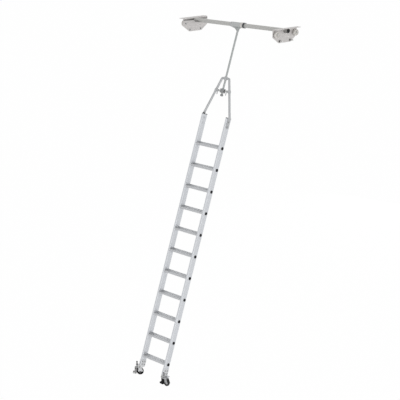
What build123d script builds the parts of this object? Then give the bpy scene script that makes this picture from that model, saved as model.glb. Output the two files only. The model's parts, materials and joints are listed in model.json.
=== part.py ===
"""Shelf ladder that hangs from a roller traverse and stands on two braked castors.

Millimetres, +Z up, +X to the climber's right, +Y away from the climber. The origin is midway
between the two rails, on the surface that the rollers run on.
"""

import os
from math import cos, radians, sin, tan

from build123d import *

# Layout
RAIL_SPACING = 1526.0  # rail centre to rail centre
LEAN = 20.0  # degrees from the vertical
LADDER_OFFSET = 12.0  # ladder's middle, right of the traverse's middle

# Fits
RUNNING_FIT = 0.06  # radial room of a turning or sliding fit
SIDE_GAP = 0.3  # room between faces that pass each other
HOLE_FIT = 0.1  # radial room of a bolt or tube in its hole
EDGE_BREAK = 3.0  # chamfer or round on a turned or cast edge
THREAD_PAST = 3.0  # thread past its nut
CUT_BOX = 300.0  # side of a box that cuts away all that is on one side

# Traverse tube and what sits on it
TUBE_OD = 50.0
TUBE_WALL = 3.0
TUBE_OVERHANG = 54.0  # tube past the carriage plate's outer face
CAP_THICK = 3.0
CAP_PLUG = 18.0
COLLAR_OD = 60.0
COLLAR_LEFT = 27.0
COLLAR_RIGHT = 33.0
THRUST_RING_OD = 69.0
THRUST_RING_WIDTH = 22.0

# Carriages
PLATE_THICK = 5.0
PLATE_HALF_LENGTH = 210.0
PLATE_SIDE_DROP = 66.0  # from the tube's axis to the upper end of the cut corner
PLATE_BOTTOM_DROP = 137.0  # from the tube's axis to the lower edge
PLATE_BOTTOM_HALF = 104.0
PLATE_CORNER = 12.0
FLANGE_REACH = 66.0  # top flange past the plate's outer face
FLANGE_ROOM = 1.0  # flange above the tube
BEND_RADIUS = 4.0
ROLLER_D = 75.0
ROLLER_WIDTH = 26.0
ROLLER_HUB_D = 30.0
ROLLER_RIM = 8.0
ROLLER_RECESS = 7.0
ROLLER_EDGE = 3.0
ROLLER_STANDOFF = 12.0
ROLLER_REACH = 166.0  # axle from the tube's axis, along the rail
ROLLER_DROP = 33.5  # axle below the tube's axis
AXLE_D = 12.0
SPACER_OD = 20.0
HEX_HEIGHT = 8.0
HEX_FLATS = 19.0
PIN_D = 16.0
PIN_REACH = 92.0
PIN_LENGTH = 51.0
PIN_FLANGE_D = 22.0
PIN_FLANGE = 3.0
RAIL_GAP = 37.0  # from the rollers' running surface down to the retaining pins

# Hanger: sleeve that tilts on the tube, and the rod welded under it
SLEEVE_OD = 62.0
SLEEVE_LEFT = 98.0  # sleeve from the ladder's middle, to the left
SLEEVE_RIGHT = 37.0
BUSH_WALL = 2.5
BUSH_LENGTH = 30.0
BUSH_FLANGE_OD = 60.0
BUSH_FLANGE_LEFT = 2.5
BUSH_FLANGE_RIGHT = 8.0
ROD_D = 24.0
ROD_LENGTH = 872.0  # tube's axis to the rod's lower end
GUSSET_THICK = 8.0
GUSSET_FOOT = 76.0  # tube's axis to the gusset's lower end
GUSSET_EDGE = 6.0
GUSSET_HOLLOW = 9.0  # how far the long edge is hollowed
KNOB_D = 36.0
KNOB_LENGTH = 28.0
KNOB_CAP = 9.0  # knob below the rod's end
KNOB_ROUND = 9.0

# Ladder head
HEAD_OVER_END = 212.0  # guide sleeve's middle above the rod's lower end
HEAD_TUBE_D = 28.0
HEAD_TUBE_WALL = 2.5
HEAD_HALF = 58.0  # corner of the head tube from the ladder's middle
HEAD_BEND = 20.0
GUIDE_BUSH_WALL = 3.0
GUIDE_BUSH_LIP = 2.5
GUIDE_BUSH_LIP_REACH = 2.5
GUIDE_SLEEVE_WALL = 4.5
GUIDE_SLEEVE_LENGTH = 40.0
LUG_THICK = 6.0
LUG_WIDTH = 42.0
LUG_ROUND = 2.6
LUG_CORNER = 14.0
FLATTEN = 56.0  # length over which the tube is pressed flat
LOFT_FLAT = 0.02  # flat left at each quarter of the round end
LUG_OVERLAP = 119.0  # lug below the stile's top
LUG_RISE = 3.0  # flat of the lug above the stile's cap
LUG_BOLT_D = 10.0
LUG_BOLT_FIRST = 42.0  # upper bolt below the stile's top
LUG_BOLT_STEP = 62.0
SMALL_HEX_FLATS = 17.0
SMALL_HEX_HEIGHT = 6.5

# Cross piece that ties the head tubes to the swivel block
BLOCK_OVER_END = 58.0  # swivel block's middle above the rod's lower end
BLOCK_WIDTH = 54.0
BLOCK_DEPTH = 48.0
BLOCK_HEIGHT = 50.0
BLOCK_ROUND = 6.0
CLAMP_BAND = 4.0
CLAMP_HEIGHT = 30.0
EAR_ROOM = 2.0  # eye from the clamp's band
EAR_THICK = 4.0
EAR_ROUND = 8.5
EYE_THICK = 8.0
EYE_D = 26.0
EYE_SHANK_D = 12.0
CLAMP_BOLT_D = 8.0
CLAMP_HEX_FLATS = 13.0
CLAMP_HEX_HEIGHT = 5.5

# Stiles
LADDER_WIDTH = 424.0
STILE_WIDTH = 25.0
STILE_DEPTH = 75.0
STILE_WALL = 2.0
STILE_ROUND = 3.0
GROOVE_WIDTH = 36.0
GROOVE_DEPTH = 0.6
STILE_BELOW_HEAD = 469.0  # stile's top below the guide sleeve's middle
STILE_LENGTH = 3154.0
STILE_CAP = 8.0
STILE_CAP_EDGE = 1.3
STILE_CAP_PLUG = 16.0

# Steps
STEP_RISE = 250.0  # from tread to tread, straight up
STEP_FIRST = 355.0  # top step below the stile's top
STEP_LAST = 120.0  # lowest step at least this far above the stile's foot
TREAD_DEPTH = 77.0
TREAD_OVER_NODE = 11.0  # tread above the stile's centre line
STEP_NOSE = 22.0
STEP_BELLY = 36.0
BELLY_FRONT = 26.0
BELLY_BACK = 30.0
STEP_WALL = 2.0
STEP_ROUND = 3.0
RIB_COUNT = 10
RIB_WIDTH = 3.0
RIB_HEIGHT = 1.2
SCREW_BACK = 7.0
SCREW_DROP = 23.0  # screw's axis below the tread
SCREW_D = 8.0
SCREW_LENGTH = 40.0
SCREW_HEAD_D = 14.0
SCREW_HEAD = 6.0
BOSS_WALL = 3.5
PLUG_D = 34.0
PLUG_HEAD = 2.0
PLUG_SHANK_D = 21.0
PLUG_SHANK = 5.0

# Castor shoes
SHOE_SHEET = 4.0
SHOE_HEIGHT = 78.0  # cheek up the stile
SHOE_ROUND = 8.0
SHOE_LENGTH = 72.0
SHOE_OUTBOARD = 36.0  # king pin outboard of the stile's middle
STUD_FORWARD = 41.0  # stud in front of the king pin
STUD_D = 14.0
STUD_HEIGHT = 76.0
STUD_COLLAR_D = 20.0
STUD_COLLAR = 8.0
STUD_PAD_R = 14.0  # base and ear round the stud
STUD_EAR = 34.0  # ear that holds the stud, above the shoe's base
STUD_EAR_BACK = 16.0  # ear's rear edge in front of the king pin
SHOE_BOLT_D = 8.0
SHOE_BOLT_HIGH = 54.0  # bolt rows above the stile's foot
SHOE_BOLT_LOW = 20.0
SHOE_BOLT_HALF = 18.0

# Castors
CASTOR_HEIGHT = 106.0  # shoe to floor
RACE_D = 44.0
RACE_HEIGHT = 8.0
KING_PIN_D = 12.0
KING_HEAD_D = 20.0
KING_HEAD = 3.0
WHEEL_D = 84.0
TYRE_WIDTH = 28.0
TYRE_THICK = 22.0
TYRE_ROUND = 7.0
WHEEL_WEB = 9.0
TRAIL = 8.0
TRAIL_LEFT = 45.0  # degrees, direction in which the wheel trails
TRAIL_RIGHT = 0.0
FORK_SHEET = 3.0
FORK_INSIDE = 38.0
FORK_CROWN = 4.0
FORK_SKIRT_LENGTH = 60.0  # straight part of the fork's side, over the wheel
FORK_SKIRT_HEIGHT = 17.0
FORK_SKIRT_ROUND = 8.0
FORK_SKIRT_SHIFT = 8.0  # skirt's middle behind the axle
TONGUE_R = 9.0  # rounding about the pedal's pin
TONGUE_WIDTH = 14.0
TONGUE_ROOM = 2.0  # pedal from the tongue's round end
CASTOR_AXLE_D = 8.0
PEDAL_DROP = 20.5  # pedal's pivot below the shoe
PEDAL_PIN_D = 6.0
PEDAL_ARM = 57.0
PEDAL_THICK = 26.0
PEDAL_TOE = 26.0
PEDAL_TOE_THICK = 16.0
PEDAL_TOE_WIDTH = 54.0
BRAKE_GAP = 0.8  # pedal's arm from the tyre

# Worked out from the sizes above
LEAN_SIN = sin(radians(LEAN))
LEAN_COS = cos(radians(LEAN))
AXIS_Z = ROLLER_DROP + ROLLER_D / 2
ROLLER_X = RAIL_SPACING / 2
PLATE_OUT = ROLLER_X - ROLLER_WIDTH / 2 - ROLLER_STANDOFF
PLATE_IN = PLATE_OUT - PLATE_THICK
TUBE_HALF = PLATE_OUT + TUBE_OVERHANG
TUBE_R = TUBE_OD / 2
ROD_R = ROD_D / 2
BUSH_OUT_R = TUBE_R + RUNNING_FIT + BUSH_WALL
GUIDE_BUSH_R = ROD_R + RUNNING_FIT + GUIDE_BUSH_WALL
GUIDE_SLEEVE_R = GUIDE_BUSH_R + RUNNING_FIT + GUIDE_SLEEVE_WALL
STILE_X = LADDER_WIDTH / 2 - STILE_WIDTH / 2
STILE_IN = LADDER_WIDTH / 2 - STILE_WIDTH
HEAD_S = ROD_LENGTH - HEAD_OVER_END
BLOCK_S = ROD_LENGTH - BLOCK_OVER_END
STILE_TOP_S = HEAD_S + STILE_BELOW_HEAD
STILE_FOOT_S = STILE_TOP_S + STILE_LENGTH
STEP_TOP_S = STILE_TOP_S + STEP_FIRST
STEP_PITCH = STEP_RISE / LEAN_COS
STEP_COUNT = 1 + int((STILE_LENGTH - STEP_FIRST - STEP_LAST) / STEP_PITCH)
STEP_S = [STEP_TOP_S + k * STEP_PITCH for k in range(STEP_COUNT)]
SHOE_TOP_Z = AXIS_Z - STILE_FOOT_S * LEAN_COS - STILE_DEPTH / 2 * LEAN_SIN - SIDE_GAP
SHOE_BASE_Z = SHOE_TOP_Z - SHOE_SHEET
KING_Y = -(AXIS_Z - SHOE_BASE_Z) * tan(radians(LEAN))
WHEEL_Z = WHEEL_D / 2 - CASTOR_HEIGHT
FORK_HALF = FORK_INSIDE / 2 + FORK_SHEET
PEDAL_REACH = WHEEL_D / 2 - TRAIL + BRAKE_GAP + PEDAL_THICK / 2

# Leaning frame: x across, -z down the ladder from the tube's axis, -y out of its front
LADDER = Pos(LADDER_OFFSET, 0, AXIS_Z) * Rot(-LEAN, 0, 0)


def rod_x(radius, start, end, bore=0.0):
    """A round bar, or a tube with a bore radius, along X."""
    ring = Circle(radius)
    if bore:
        ring -= Circle(bore)
    return extrude(Plane.YZ.offset(start) * ring, end - start)


def rod_y(radius, half):
    """A round bar along Y, centred."""
    return Rot(90, 0, 0) * Cylinder(radius, 2 * half)


def rod_z(radius, low, high, bore=0.0):
    """A round bar, or a tube with a bore radius, along Z."""
    ring = Circle(radius)
    if bore:
        ring -= Circle(bore)
    return extrude(Pos(0, 0, low) * ring, high - low)


def hex_x(flats, start, end):
    """A hexagon across its flats, along X."""
    return extrude(Plane.YZ.offset(start) * RegularPolygon(flats / 2, 6, False), end - start)


def turned_x(points):
    """A turned piece on the X axis, from its outline as (x, radius)."""
    return revolve(make_face(Polyline(*points, close=True)), Axis.X, 360)


def mirror_x(shape):
    return mirror(shape, Plane.YZ)


def both_sides(shape):
    return [shape, mirror_x(shape)]


def group(solids):
    return Compound(children=list(solids))


# Traverse
def traverse_tube():
    return Pos(0, 0, AXIS_Z) * rod_x(TUBE_R, -TUBE_HALF, TUBE_HALF, TUBE_R - TUBE_WALL)


def tube_end_caps():
    bore = TUBE_R - TUBE_WALL - HOLE_FIT
    cap = rod_x(TUBE_R, TUBE_HALF, TUBE_HALF + CAP_THICK)
    cap = fillet(cap.edges().group_by(Axis.X)[-1], CAP_THICK / 2)
    cap += rod_x(bore, TUBE_HALF - CAP_PLUG, TUBE_HALF)
    return Pos(0, 0, AXIS_Z) * group(both_sides(cap))


def collar_places():
    """Ends of the left collar, the thrust ring and the right collar along the tube."""
    left_end = LADDER_OFFSET - SLEEVE_LEFT - BUSH_FLANGE_LEFT - SIDE_GAP
    ring_start = LADDER_OFFSET + SLEEVE_RIGHT + BUSH_FLANGE_RIGHT + SIDE_GAP
    return left_end, ring_start, ring_start + THRUST_RING_WIDTH


def collar(start, end):
    body = rod_x(COLLAR_OD / 2, start, end)
    body = chamfer(body.edges(), EDGE_BREAK / 2)
    return body - rod_x(TUBE_R + HOLE_FIT, start, end)


def set_collars():
    left_end, _, right_start = collar_places()
    left = collar(left_end - COLLAR_LEFT, left_end)
    right = collar(right_start, right_start + COLLAR_RIGHT)
    return Pos(0, 0, AXIS_Z) * group([left, right])


def thrust_ring():
    _, start, end = collar_places()
    ring = rod_x(THRUST_RING_OD / 2, start, end)
    ring = fillet(ring.edges(), EDGE_BREAK)
    return Pos(0, 0, AXIS_Z) * (ring - rod_x(TUBE_R + HOLE_FIT, start, end))


def axle_points():
    return [(-ROLLER_REACH, ROLLER_D / 2), (ROLLER_REACH, ROLLER_D / 2)]


def pin_points():
    return [(-PIN_REACH, -RAIL_GAP - PIN_D / 2), (PIN_REACH, -RAIL_GAP - PIN_D / 2)]


def carriage_plate():
    """The right carriage plate: a folded sheet with two cut lower corners."""
    top = AXIS_Z + TUBE_R + FLANGE_ROOM + PLATE_THICK
    low = AXIS_Z - PLATE_BOTTOM_DROP
    side = AXIS_Z - PLATE_SIDE_DROP
    tip = PLATE_OUT + FLANGE_REACH
    fold = [
        (PLATE_IN, low),
        (PLATE_OUT, low),
        (PLATE_OUT, top - PLATE_THICK),
        (tip, top - PLATE_THICK),
        (tip, top),
        (PLATE_IN, top),
    ]
    bends = [0, 0, BEND_RADIUS, 0, 0, BEND_RADIUS + PLATE_THICK]
    section = make_face(FilletPolyline(*fold, radius=bends, close=True))
    sheet = extrude(Plane.XZ * section, PLATE_HALF_LENGTH, both=True)
    outline = [
        (-PLATE_HALF_LENGTH, top),
        (-PLATE_HALF_LENGTH, side),
        (-PLATE_BOTTOM_HALF, low),
        (PLATE_BOTTOM_HALF, low),
        (PLATE_HALF_LENGTH, side),
        (PLATE_HALF_LENGTH, top),
    ]
    corners = [0, PLATE_CORNER, PLATE_CORNER, PLATE_CORNER, PLATE_CORNER, 0]
    blank = make_face(FilletPolyline(*outline, radius=corners, close=True))
    plate = sheet & extrude(Plane.YZ.offset(PLATE_IN) * blank, tip - PLATE_IN)
    plate -= Pos(0, 0, AXIS_Z) * rod_x(TUBE_R + HOLE_FIT, PLATE_IN, tip)
    for y, z in axle_points() + pin_points():
        plate -= Pos(0, y, z) * rod_x(AXLE_D / 2 + HOLE_FIT, PLATE_IN, PLATE_OUT)
    return plate


def roller():
    """A turned plastic roller with a recessed web on each side, centred on the axle."""
    half = ROLLER_WIDTH / 2
    bore = AXLE_D / 2 + RUNNING_FIT
    rim = ROLLER_D / 2 - ROLLER_RIM
    web = half - ROLLER_RECESS
    hub = ROLLER_HUB_D / 2
    right = [
        (half, bore),
        (half, hub),
        (web, hub),
        (web, rim),
        (half, rim),
        (half, ROLLER_D / 2 - ROLLER_EDGE),
        (half - ROLLER_EDGE, ROLLER_D / 2),
    ]
    left = [(-x, radius) for x, radius in reversed(right)]
    return turned_x(right + left)


def rollers():
    return {
        f"roller_{side}_{end}": Pos(sign * ROLLER_X, y, z) * roller()
        for side, sign in (("left", -1), ("right", 1))
        for end, (y, z) in zip(("front", "rear"), axle_points())
    }


def at_points(shape, points):
    """A right-hand carriage piece at each (y, z), and its mirror image on the left."""
    placed = [Pos(0, y, z) * shape for y, z in points]
    return group(placed + [mirror_x(one) for one in placed])


def roller_axles():
    head = ROLLER_X + ROLLER_WIDTH / 2 + SIDE_GAP
    axle = rod_x(AXLE_D / 2, PLATE_IN - HEX_HEIGHT - THREAD_PAST, head)
    axle += hex_x(HEX_FLATS, head, head + HEX_HEIGHT)
    return at_points(axle, axle_points())


def axle_spacers():
    end = ROLLER_X - ROLLER_WIDTH / 2 - SIDE_GAP
    return at_points(rod_x(SPACER_OD / 2, PLATE_OUT, end, AXLE_D / 2 + HOLE_FIT), axle_points())


def retaining_pins():
    """Pins that pass under the rail's lip, each with a flange against the plate and a stud."""
    end = PLATE_OUT + PIN_LENGTH
    stud = PLATE_IN - HEX_HEIGHT - THREAD_PAST
    outline = [
        (stud, 0),
        (stud, AXLE_D / 2),
        (PLATE_OUT, AXLE_D / 2),
        (PLATE_OUT, PIN_FLANGE_D / 2),
        (PLATE_OUT + PIN_FLANGE, PIN_FLANGE_D / 2),
        (PLATE_OUT + PIN_FLANGE, PIN_D / 2),
        (end - EDGE_BREAK, PIN_D / 2),
        (end, PIN_D / 2 - EDGE_BREAK),
        (end, 0),
    ]
    return at_points(turned_x(outline), pin_points())


def carriage_nuts():
    nut = hex_x(HEX_FLATS, PLATE_IN - HEX_HEIGHT, PLATE_IN)
    nut -= rod_x(AXLE_D / 2 + HOLE_FIT, PLATE_IN - HEX_HEIGHT, PLATE_IN)
    return at_points(nut, axle_points() + pin_points())


# Hanger
def tee_sleeve():
    return LADDER * rod_x(SLEEVE_OD / 2, -SLEEVE_LEFT, SLEEVE_RIGHT, BUSH_OUT_R + HOLE_FIT)


def flanged_bush(flange):
    """A turned bush on the tube, with its flange's inner face at zero and its shell along +X."""
    bore = TUBE_R + RUNNING_FIT
    return turned_x(
        [
            (-flange, bore),
            (-flange, BUSH_FLANGE_OD / 2),
            (0, BUSH_FLANGE_OD / 2),
            (0, BUSH_OUT_R),
            (BUSH_LENGTH, BUSH_OUT_R),
            (BUSH_LENGTH, bore),
        ]
    )


def sleeve_bushes():
    left = Pos(-SLEEVE_LEFT, 0, 0) * flanged_bush(BUSH_FLANGE_LEFT)
    right = Pos(SLEEVE_RIGHT, 0, 0) * mirror_x(flanged_bush(BUSH_FLANGE_RIGHT))
    return LADDER * group([left, right])


def hanger_rod():
    rod = rod_z(ROD_R, -ROD_LENGTH, 0)
    return LADDER * (rod - rod_x(SLEEVE_OD / 2, -SLEEVE_LEFT, SLEEVE_RIGHT))


def gusset(reach):
    """One web with a hollow edge between the sleeve's underside and the rod, on the right."""
    shoulder = -SLEEVE_OD / 2 - GUSSET_EDGE
    toe = ROD_R + GUSSET_EDGE
    long_edge = SagittaArc((reach, shoulder), (toe, -GUSSET_FOOT), -GUSSET_HOLLOW)
    rest = Polyline((toe, -GUSSET_FOOT), (0, -GUSSET_FOOT), (0, 0), (reach, 0), (reach, shoulder))
    web = extrude(Plane.XZ * make_face([long_edge, rest]), GUSSET_THICK / 2, both=True)
    web -= rod_x(SLEEVE_OD / 2, 0, reach)
    return web - rod_z(ROD_R, -GUSSET_FOOT, 0)


def hanger_gussets():
    return LADDER * group([mirror_x(gusset(SLEEVE_LEFT)), gusset(SLEEVE_RIGHT)])


def rod_knob():
    low = -ROD_LENGTH - KNOB_CAP
    knob = rod_z(KNOB_D / 2, low, low + KNOB_LENGTH)
    knob = fillet(knob.edges(), KNOB_ROUND)
    return LADDER * (knob - rod_z(ROD_R + HOLE_FIT, -ROD_LENGTH, low + KNOB_LENGTH))


# Guide
def guide_bush(middle, height, lip_up):
    """A plain bush in a bore of the ladder's, with a lip at one end."""
    bore = ROD_R + RUNNING_FIT
    half = height / 2
    bush = rod_z(GUIDE_BUSH_R, middle - half - SIDE_GAP, middle + half + SIDE_GAP, bore)
    lip = middle + half + SIDE_GAP if lip_up else middle - half - SIDE_GAP - GUIDE_BUSH_LIP
    return LADDER * (bush + rod_z(GUIDE_BUSH_R + GUIDE_BUSH_LIP_REACH, lip, lip + GUIDE_BUSH_LIP, bore))


# Ladder head
def guide_sleeve():
    half = GUIDE_SLEEVE_LENGTH / 2
    bore = GUIDE_BUSH_R + RUNNING_FIT
    return LADDER * rod_z(GUIDE_SLEEVE_R, -HEAD_S - half, -HEAD_S + half, bore)


def leg_foot():
    """Where the right head tube's leg runs into its flat lug: (x, s)."""
    return LADDER_WIDTH / 2 + LUG_THICK / 2, STILE_TOP_S - STILE_CAP - LUG_RISE


def leg_x(s):
    """The right leg's axis, from the ladder's middle, at a place down the ladder."""
    foot_x, foot_s = leg_foot()
    return HEAD_HALF + (foot_x - HEAD_HALF) * (s - HEAD_S) / (foot_s - HEAD_S)


def leg_vector():
    foot_x, foot_s = leg_foot()
    return Vector(foot_x - HEAD_HALF, 0, HEAD_S - foot_s).normalized()


def head_tube():
    """The right head tube: a stub, one bend, a leg pressed flat at its end and a bolted lug."""
    foot_x, foot_s = leg_foot()
    flat_s = foot_s - FLATTEN
    path = FilletPolyline(
        (0, 0, -HEAD_S), (HEAD_HALF, 0, -HEAD_S), (leg_x(flat_s), 0, -flat_s), radius=HEAD_BEND
    )
    start = Plane((0, 0, -HEAD_S), z_dir=(1, 0, 0))
    tube = sweep(start * Circle(HEAD_TUBE_D / 2), path)
    bore = sweep(start * Circle(HEAD_TUBE_D / 2 - HEAD_TUBE_WALL), path)
    round_end = Plane((leg_x(flat_s), 0, -flat_s), x_dir=(0, 1, 0), z_dir=leg_vector())
    flat_end = Plane((foot_x, 0, -foot_s), x_dir=(0, 1, 0), z_dir=(0, 0, -1))
    pressed = loft(
        [
            round_end * RectangleRounded(HEAD_TUBE_D, HEAD_TUBE_D, HEAD_TUBE_D / 2 - LOFT_FLAT),
            flat_end * RectangleRounded(LUG_WIDTH, LUG_THICK, LUG_ROUND),
        ]
    )
    low = -STILE_TOP_S - LUG_OVERLAP
    half = LUG_WIDTH / 2
    outline = [(-half, -foot_s), (-half, low), (half, low), (half, -foot_s)]
    corners = [0, LUG_CORNER, LUG_CORNER, 0]
    blank = make_face(FilletPolyline(*outline, radius=corners, close=True))
    lug = extrude(Plane.YZ.offset(foot_x) * blank, LUG_THICK / 2, both=True)
    for s in lug_bolt_s():
        lug -= Pos(0, 0, -s) * rod_x(LUG_BOLT_D / 2 + HOLE_FIT, foot_x - LUG_THICK, foot_x + LUG_THICK)
    tube = tube - bore + pressed + lug
    return tube - rod_z(GUIDE_SLEEVE_R, -HEAD_S - GUIDE_SLEEVE_LENGTH, -HEAD_S + GUIDE_SLEEVE_LENGTH)


def lug_bolt_s():
    first = STILE_TOP_S + LUG_BOLT_FIRST
    return [first, first + LUG_BOLT_STEP]


def through_bolt(diameter, start, end, flats, height):
    """A bolt along X with its head past the end and its nut before the start."""
    shank = rod_x(diameter / 2, start - height, end)
    return shank + hex_x(flats, end, end + height) + hex_x(flats, start - height, start)


def lug_bolts():
    bolt = through_bolt(
        LUG_BOLT_D, STILE_IN, LADDER_WIDTH / 2 + LUG_THICK, SMALL_HEX_FLATS, SMALL_HEX_HEIGHT
    )
    placed = [Pos(0, 0, -s) * bolt for s in lug_bolt_s()]
    return LADDER * group(placed + [mirror_x(one) for one in placed])


# Cross piece
def eye_x():
    """The right eye's middle, clear of the band where the leg leans towards it."""
    along = leg_vector()
    band = (HEAD_TUBE_D / 2 + HOLE_FIT + CLAMP_BAND) / -along.Z
    lean = EYE_D / 2 * along.X / -along.Z
    return leg_x(BLOCK_S) - band - lean - EAR_ROOM - EYE_D / 2


def tube_clamp():
    """The right clamp: a band round the leg and two ears that point at the swivel block."""
    band_r = HEAD_TUBE_D / 2 + HOLE_FIT
    seat = Plane((leg_x(BLOCK_S), 0, -BLOCK_S), x_dir=(0, 1, 0), z_dir=leg_vector())
    band = extrude(seat * Circle(band_r + CLAMP_BAND), CLAMP_HEIGHT / 2, both=True)
    ear_end = eye_x() - EYE_D / 2
    ear_length = leg_x(BLOCK_S) - ear_end
    gap = EYE_THICK / 2 + HOLE_FIT
    ears = Box(ear_length, 2 * (gap + EAR_THICK), EYE_D)
    tips = ears.edges().filter_by(Axis.Y).group_by(Axis.X)[0]
    ears = fillet(tips, EAR_ROUND)
    ears -= Box(ear_length, 2 * gap, EYE_D)
    clamp = band + Pos(ear_end + ear_length / 2, 0, -BLOCK_S) * ears
    clamp -= extrude(seat * Circle(band_r), CLAMP_HEIGHT, both=True)
    return clamp - Pos(eye_x(), 0, -BLOCK_S) * rod_y(CLAMP_BOLT_D / 2 + HOLE_FIT, HEAD_TUBE_D)


def clamp_bolt():
    reach = EYE_THICK / 2 + HOLE_FIT + EAR_THICK
    bolt = through_bolt(CLAMP_BOLT_D, -reach, reach, CLAMP_HEX_FLATS, CLAMP_HEX_HEIGHT)
    return Pos(eye_x(), 0, -BLOCK_S) * Rot(0, 0, 90) * bolt


def eye_bolt():
    """An eye between the clamp's ears on a stud that screws into the swivel block."""
    neck = eye_x() - EYE_D / 2 - SIDE_GAP
    tongue = Pos((neck + eye_x()) / 2, 0, 0) * Box(eye_x() - neck, EYE_THICK, EYE_SHANK_D)
    eye = Pos(eye_x(), 0, 0) * rod_y(EYE_D / 2, EYE_THICK / 2)
    bolt = rod_x(EYE_SHANK_D / 2, BLOCK_WIDTH / 2, neck) + tongue + eye
    bolt -= Pos(eye_x(), 0, 0) * rod_y(CLAMP_BOLT_D / 2 + HOLE_FIT, EYE_THICK)
    return Pos(0, 0, -BLOCK_S) * bolt


def lock_nut():
    end = BLOCK_WIDTH / 2 + HEX_HEIGHT
    nut = hex_x(HEX_FLATS, BLOCK_WIDTH / 2, end)
    return Pos(0, 0, -BLOCK_S) * (nut - rod_x(EYE_SHANK_D / 2 + HOLE_FIT, BLOCK_WIDTH / 2, end))


def swivel_block():
    block = extrude(RectangleRounded(BLOCK_WIDTH, BLOCK_DEPTH, BLOCK_ROUND), BLOCK_HEIGHT / 2, both=True)
    block = chamfer(block.edges().group_by(Axis.Z)[-1], EDGE_BREAK)
    block = chamfer(block.edges().group_by(Axis.Z)[0], EDGE_BREAK)
    block -= rod_z(GUIDE_BUSH_R + RUNNING_FIT, -BLOCK_HEIGHT, BLOCK_HEIGHT)
    return LADDER * Pos(0, 0, -BLOCK_S) * block


# Stiles and steps
def step_frame(s):
    """A level frame on the stiles' centre line, on the tread of the step at s."""
    return Pos(0, 0, -s) * Rot(LEAN, 0, 0) * Pos(0, 0, TREAD_OVER_NODE)


def screw_place(s):
    return step_frame(s) * Pos(0, SCREW_BACK, -SCREW_DROP)


def shoe_bolt_points():
    """Shoe bolts in the leaning frame: (y, z)."""
    rows = (STILE_FOOT_S - SHOE_BOLT_HIGH, STILE_FOOT_S - SHOE_BOLT_LOW)
    return [(y, -s) for s in rows for y in (-SHOE_BOLT_HALF, SHOE_BOLT_HALF)]


def stile():
    """The right stile: a rectangular tube with a shallow groove down its outer face."""
    outside = RectangleRounded(STILE_WIDTH, STILE_DEPTH, STILE_ROUND)
    inside = RectangleRounded(
        STILE_WIDTH - 2 * STILE_WALL, STILE_DEPTH - 2 * STILE_WALL, STILE_ROUND - STILE_WALL / 2
    )
    groove = Pos(STILE_WIDTH / 2, 0) * Rectangle(2 * GROOVE_DEPTH, GROOVE_WIDTH)
    section = Pos(STILE_X, 0, -STILE_FOOT_S) * (outside - inside - groove)
    body = extrude(section, STILE_FOOT_S - STILE_TOP_S)
    outer = LADDER_WIDTH / 2
    middle = STILE_X
    for s in STEP_S:
        body -= screw_place(s) * rod_x(PLUG_SHANK_D / 2 + HOLE_FIT, middle, outer)
        body -= screw_place(s) * rod_x(SCREW_D / 2 + HOLE_FIT, STILE_IN, middle)
    for s in lug_bolt_s():
        body -= Pos(0, 0, -s) * rod_x(LUG_BOLT_D / 2 + HOLE_FIT, STILE_IN, outer)
    for y, z in shoe_bolt_points():
        body -= Pos(0, y, z) * rod_x(SHOE_BOLT_D / 2 + HOLE_FIT, STILE_IN, outer)
    return body


def stile_caps():
    cap = extrude(RectangleRounded(STILE_WIDTH, STILE_DEPTH, STILE_ROUND), STILE_CAP)
    cap = chamfer(cap.edges().group_by(Axis.Z)[-1], STILE_CAP_EDGE)
    wall = 2 * (STILE_WALL + HOLE_FIT)
    plug = Rectangle(STILE_WIDTH - wall - STILE_WALL, STILE_DEPTH - wall - STILE_WALL)
    cap += extrude(plug, -STILE_CAP_PLUG)
    return LADDER * group(both_sides(Pos(STILE_X, 0, -STILE_TOP_S) * cap))


def step_section():
    """The step's hollow section, level, with its tread's rib tops at zero height."""
    half = TREAD_DEPTH / 2
    top = -RIB_HEIGHT
    outline = [
        (-half, top),
        (-half, -STEP_NOSE),
        (-half + BELLY_FRONT, -STEP_BELLY),
        (half - BELLY_BACK, -STEP_BELLY),
        (half, -STEP_NOSE),
        (half, top),
    ]
    skin = make_face(FilletPolyline(*outline, radius=STEP_ROUND, close=True))
    hollow = offset(skin, -STEP_WALL)
    screw = Pos(SCREW_BACK, -SCREW_DROP)
    boss = screw * Circle(SCREW_D / 2 + HOLE_FIT + BOSS_WALL)
    tie = Pos(SCREW_BACK, -(SCREW_DROP + STEP_BELLY) / 2) * Rectangle(
        STEP_WALL, STEP_BELLY - SCREW_DROP
    )
    web = Pos(SCREW_BACK, -SCREW_DROP / 2 + top / 2) * Rectangle(STEP_WALL, SCREW_DROP + top)
    section = skin - hollow + boss + tie + web - screw * Circle(SCREW_D / 2 + HOLE_FIT)
    spacing = (TREAD_DEPTH - 2 * STEP_ROUND - RIB_WIDTH) / (RIB_COUNT - 1)
    for place in GridLocations(spacing, 0, RIB_COUNT, 1):
        section += place * Pos(0, top / 2) * Rectangle(RIB_WIDTH, RIB_HEIGHT)
    return section


def step():
    return extrude(Plane.YZ * step_section(), STILE_IN, both=True)


def step_screws():
    start = STILE_IN + STILE_WALL - SCREW_LENGTH
    head = STILE_IN + STILE_WALL
    screw = rod_x(SCREW_D / 2, start, head) + rod_x(SCREW_HEAD_D / 2, head, head + SCREW_HEAD)
    placed = [screw_place(s) * one for s in STEP_S for one in both_sides(screw)]
    return LADDER * group(placed)


def step_plugs():
    face = LADDER_WIDTH / 2
    plug = rod_x(PLUG_D / 2, face, face + PLUG_HEAD)
    plug = chamfer(plug.edges().group_by(Axis.X)[-1], PLUG_HEAD / 2)
    plug += rod_x(PLUG_SHANK_D / 2, face - PLUG_SHANK, face)
    placed = [screw_place(s) * one for s in STEP_S for one in both_sides(plug)]
    return LADDER * group(placed)


# Castor shoes and castors
def stile_foot_x(sign):
    return LADDER_OFFSET + sign * STILE_X


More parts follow.
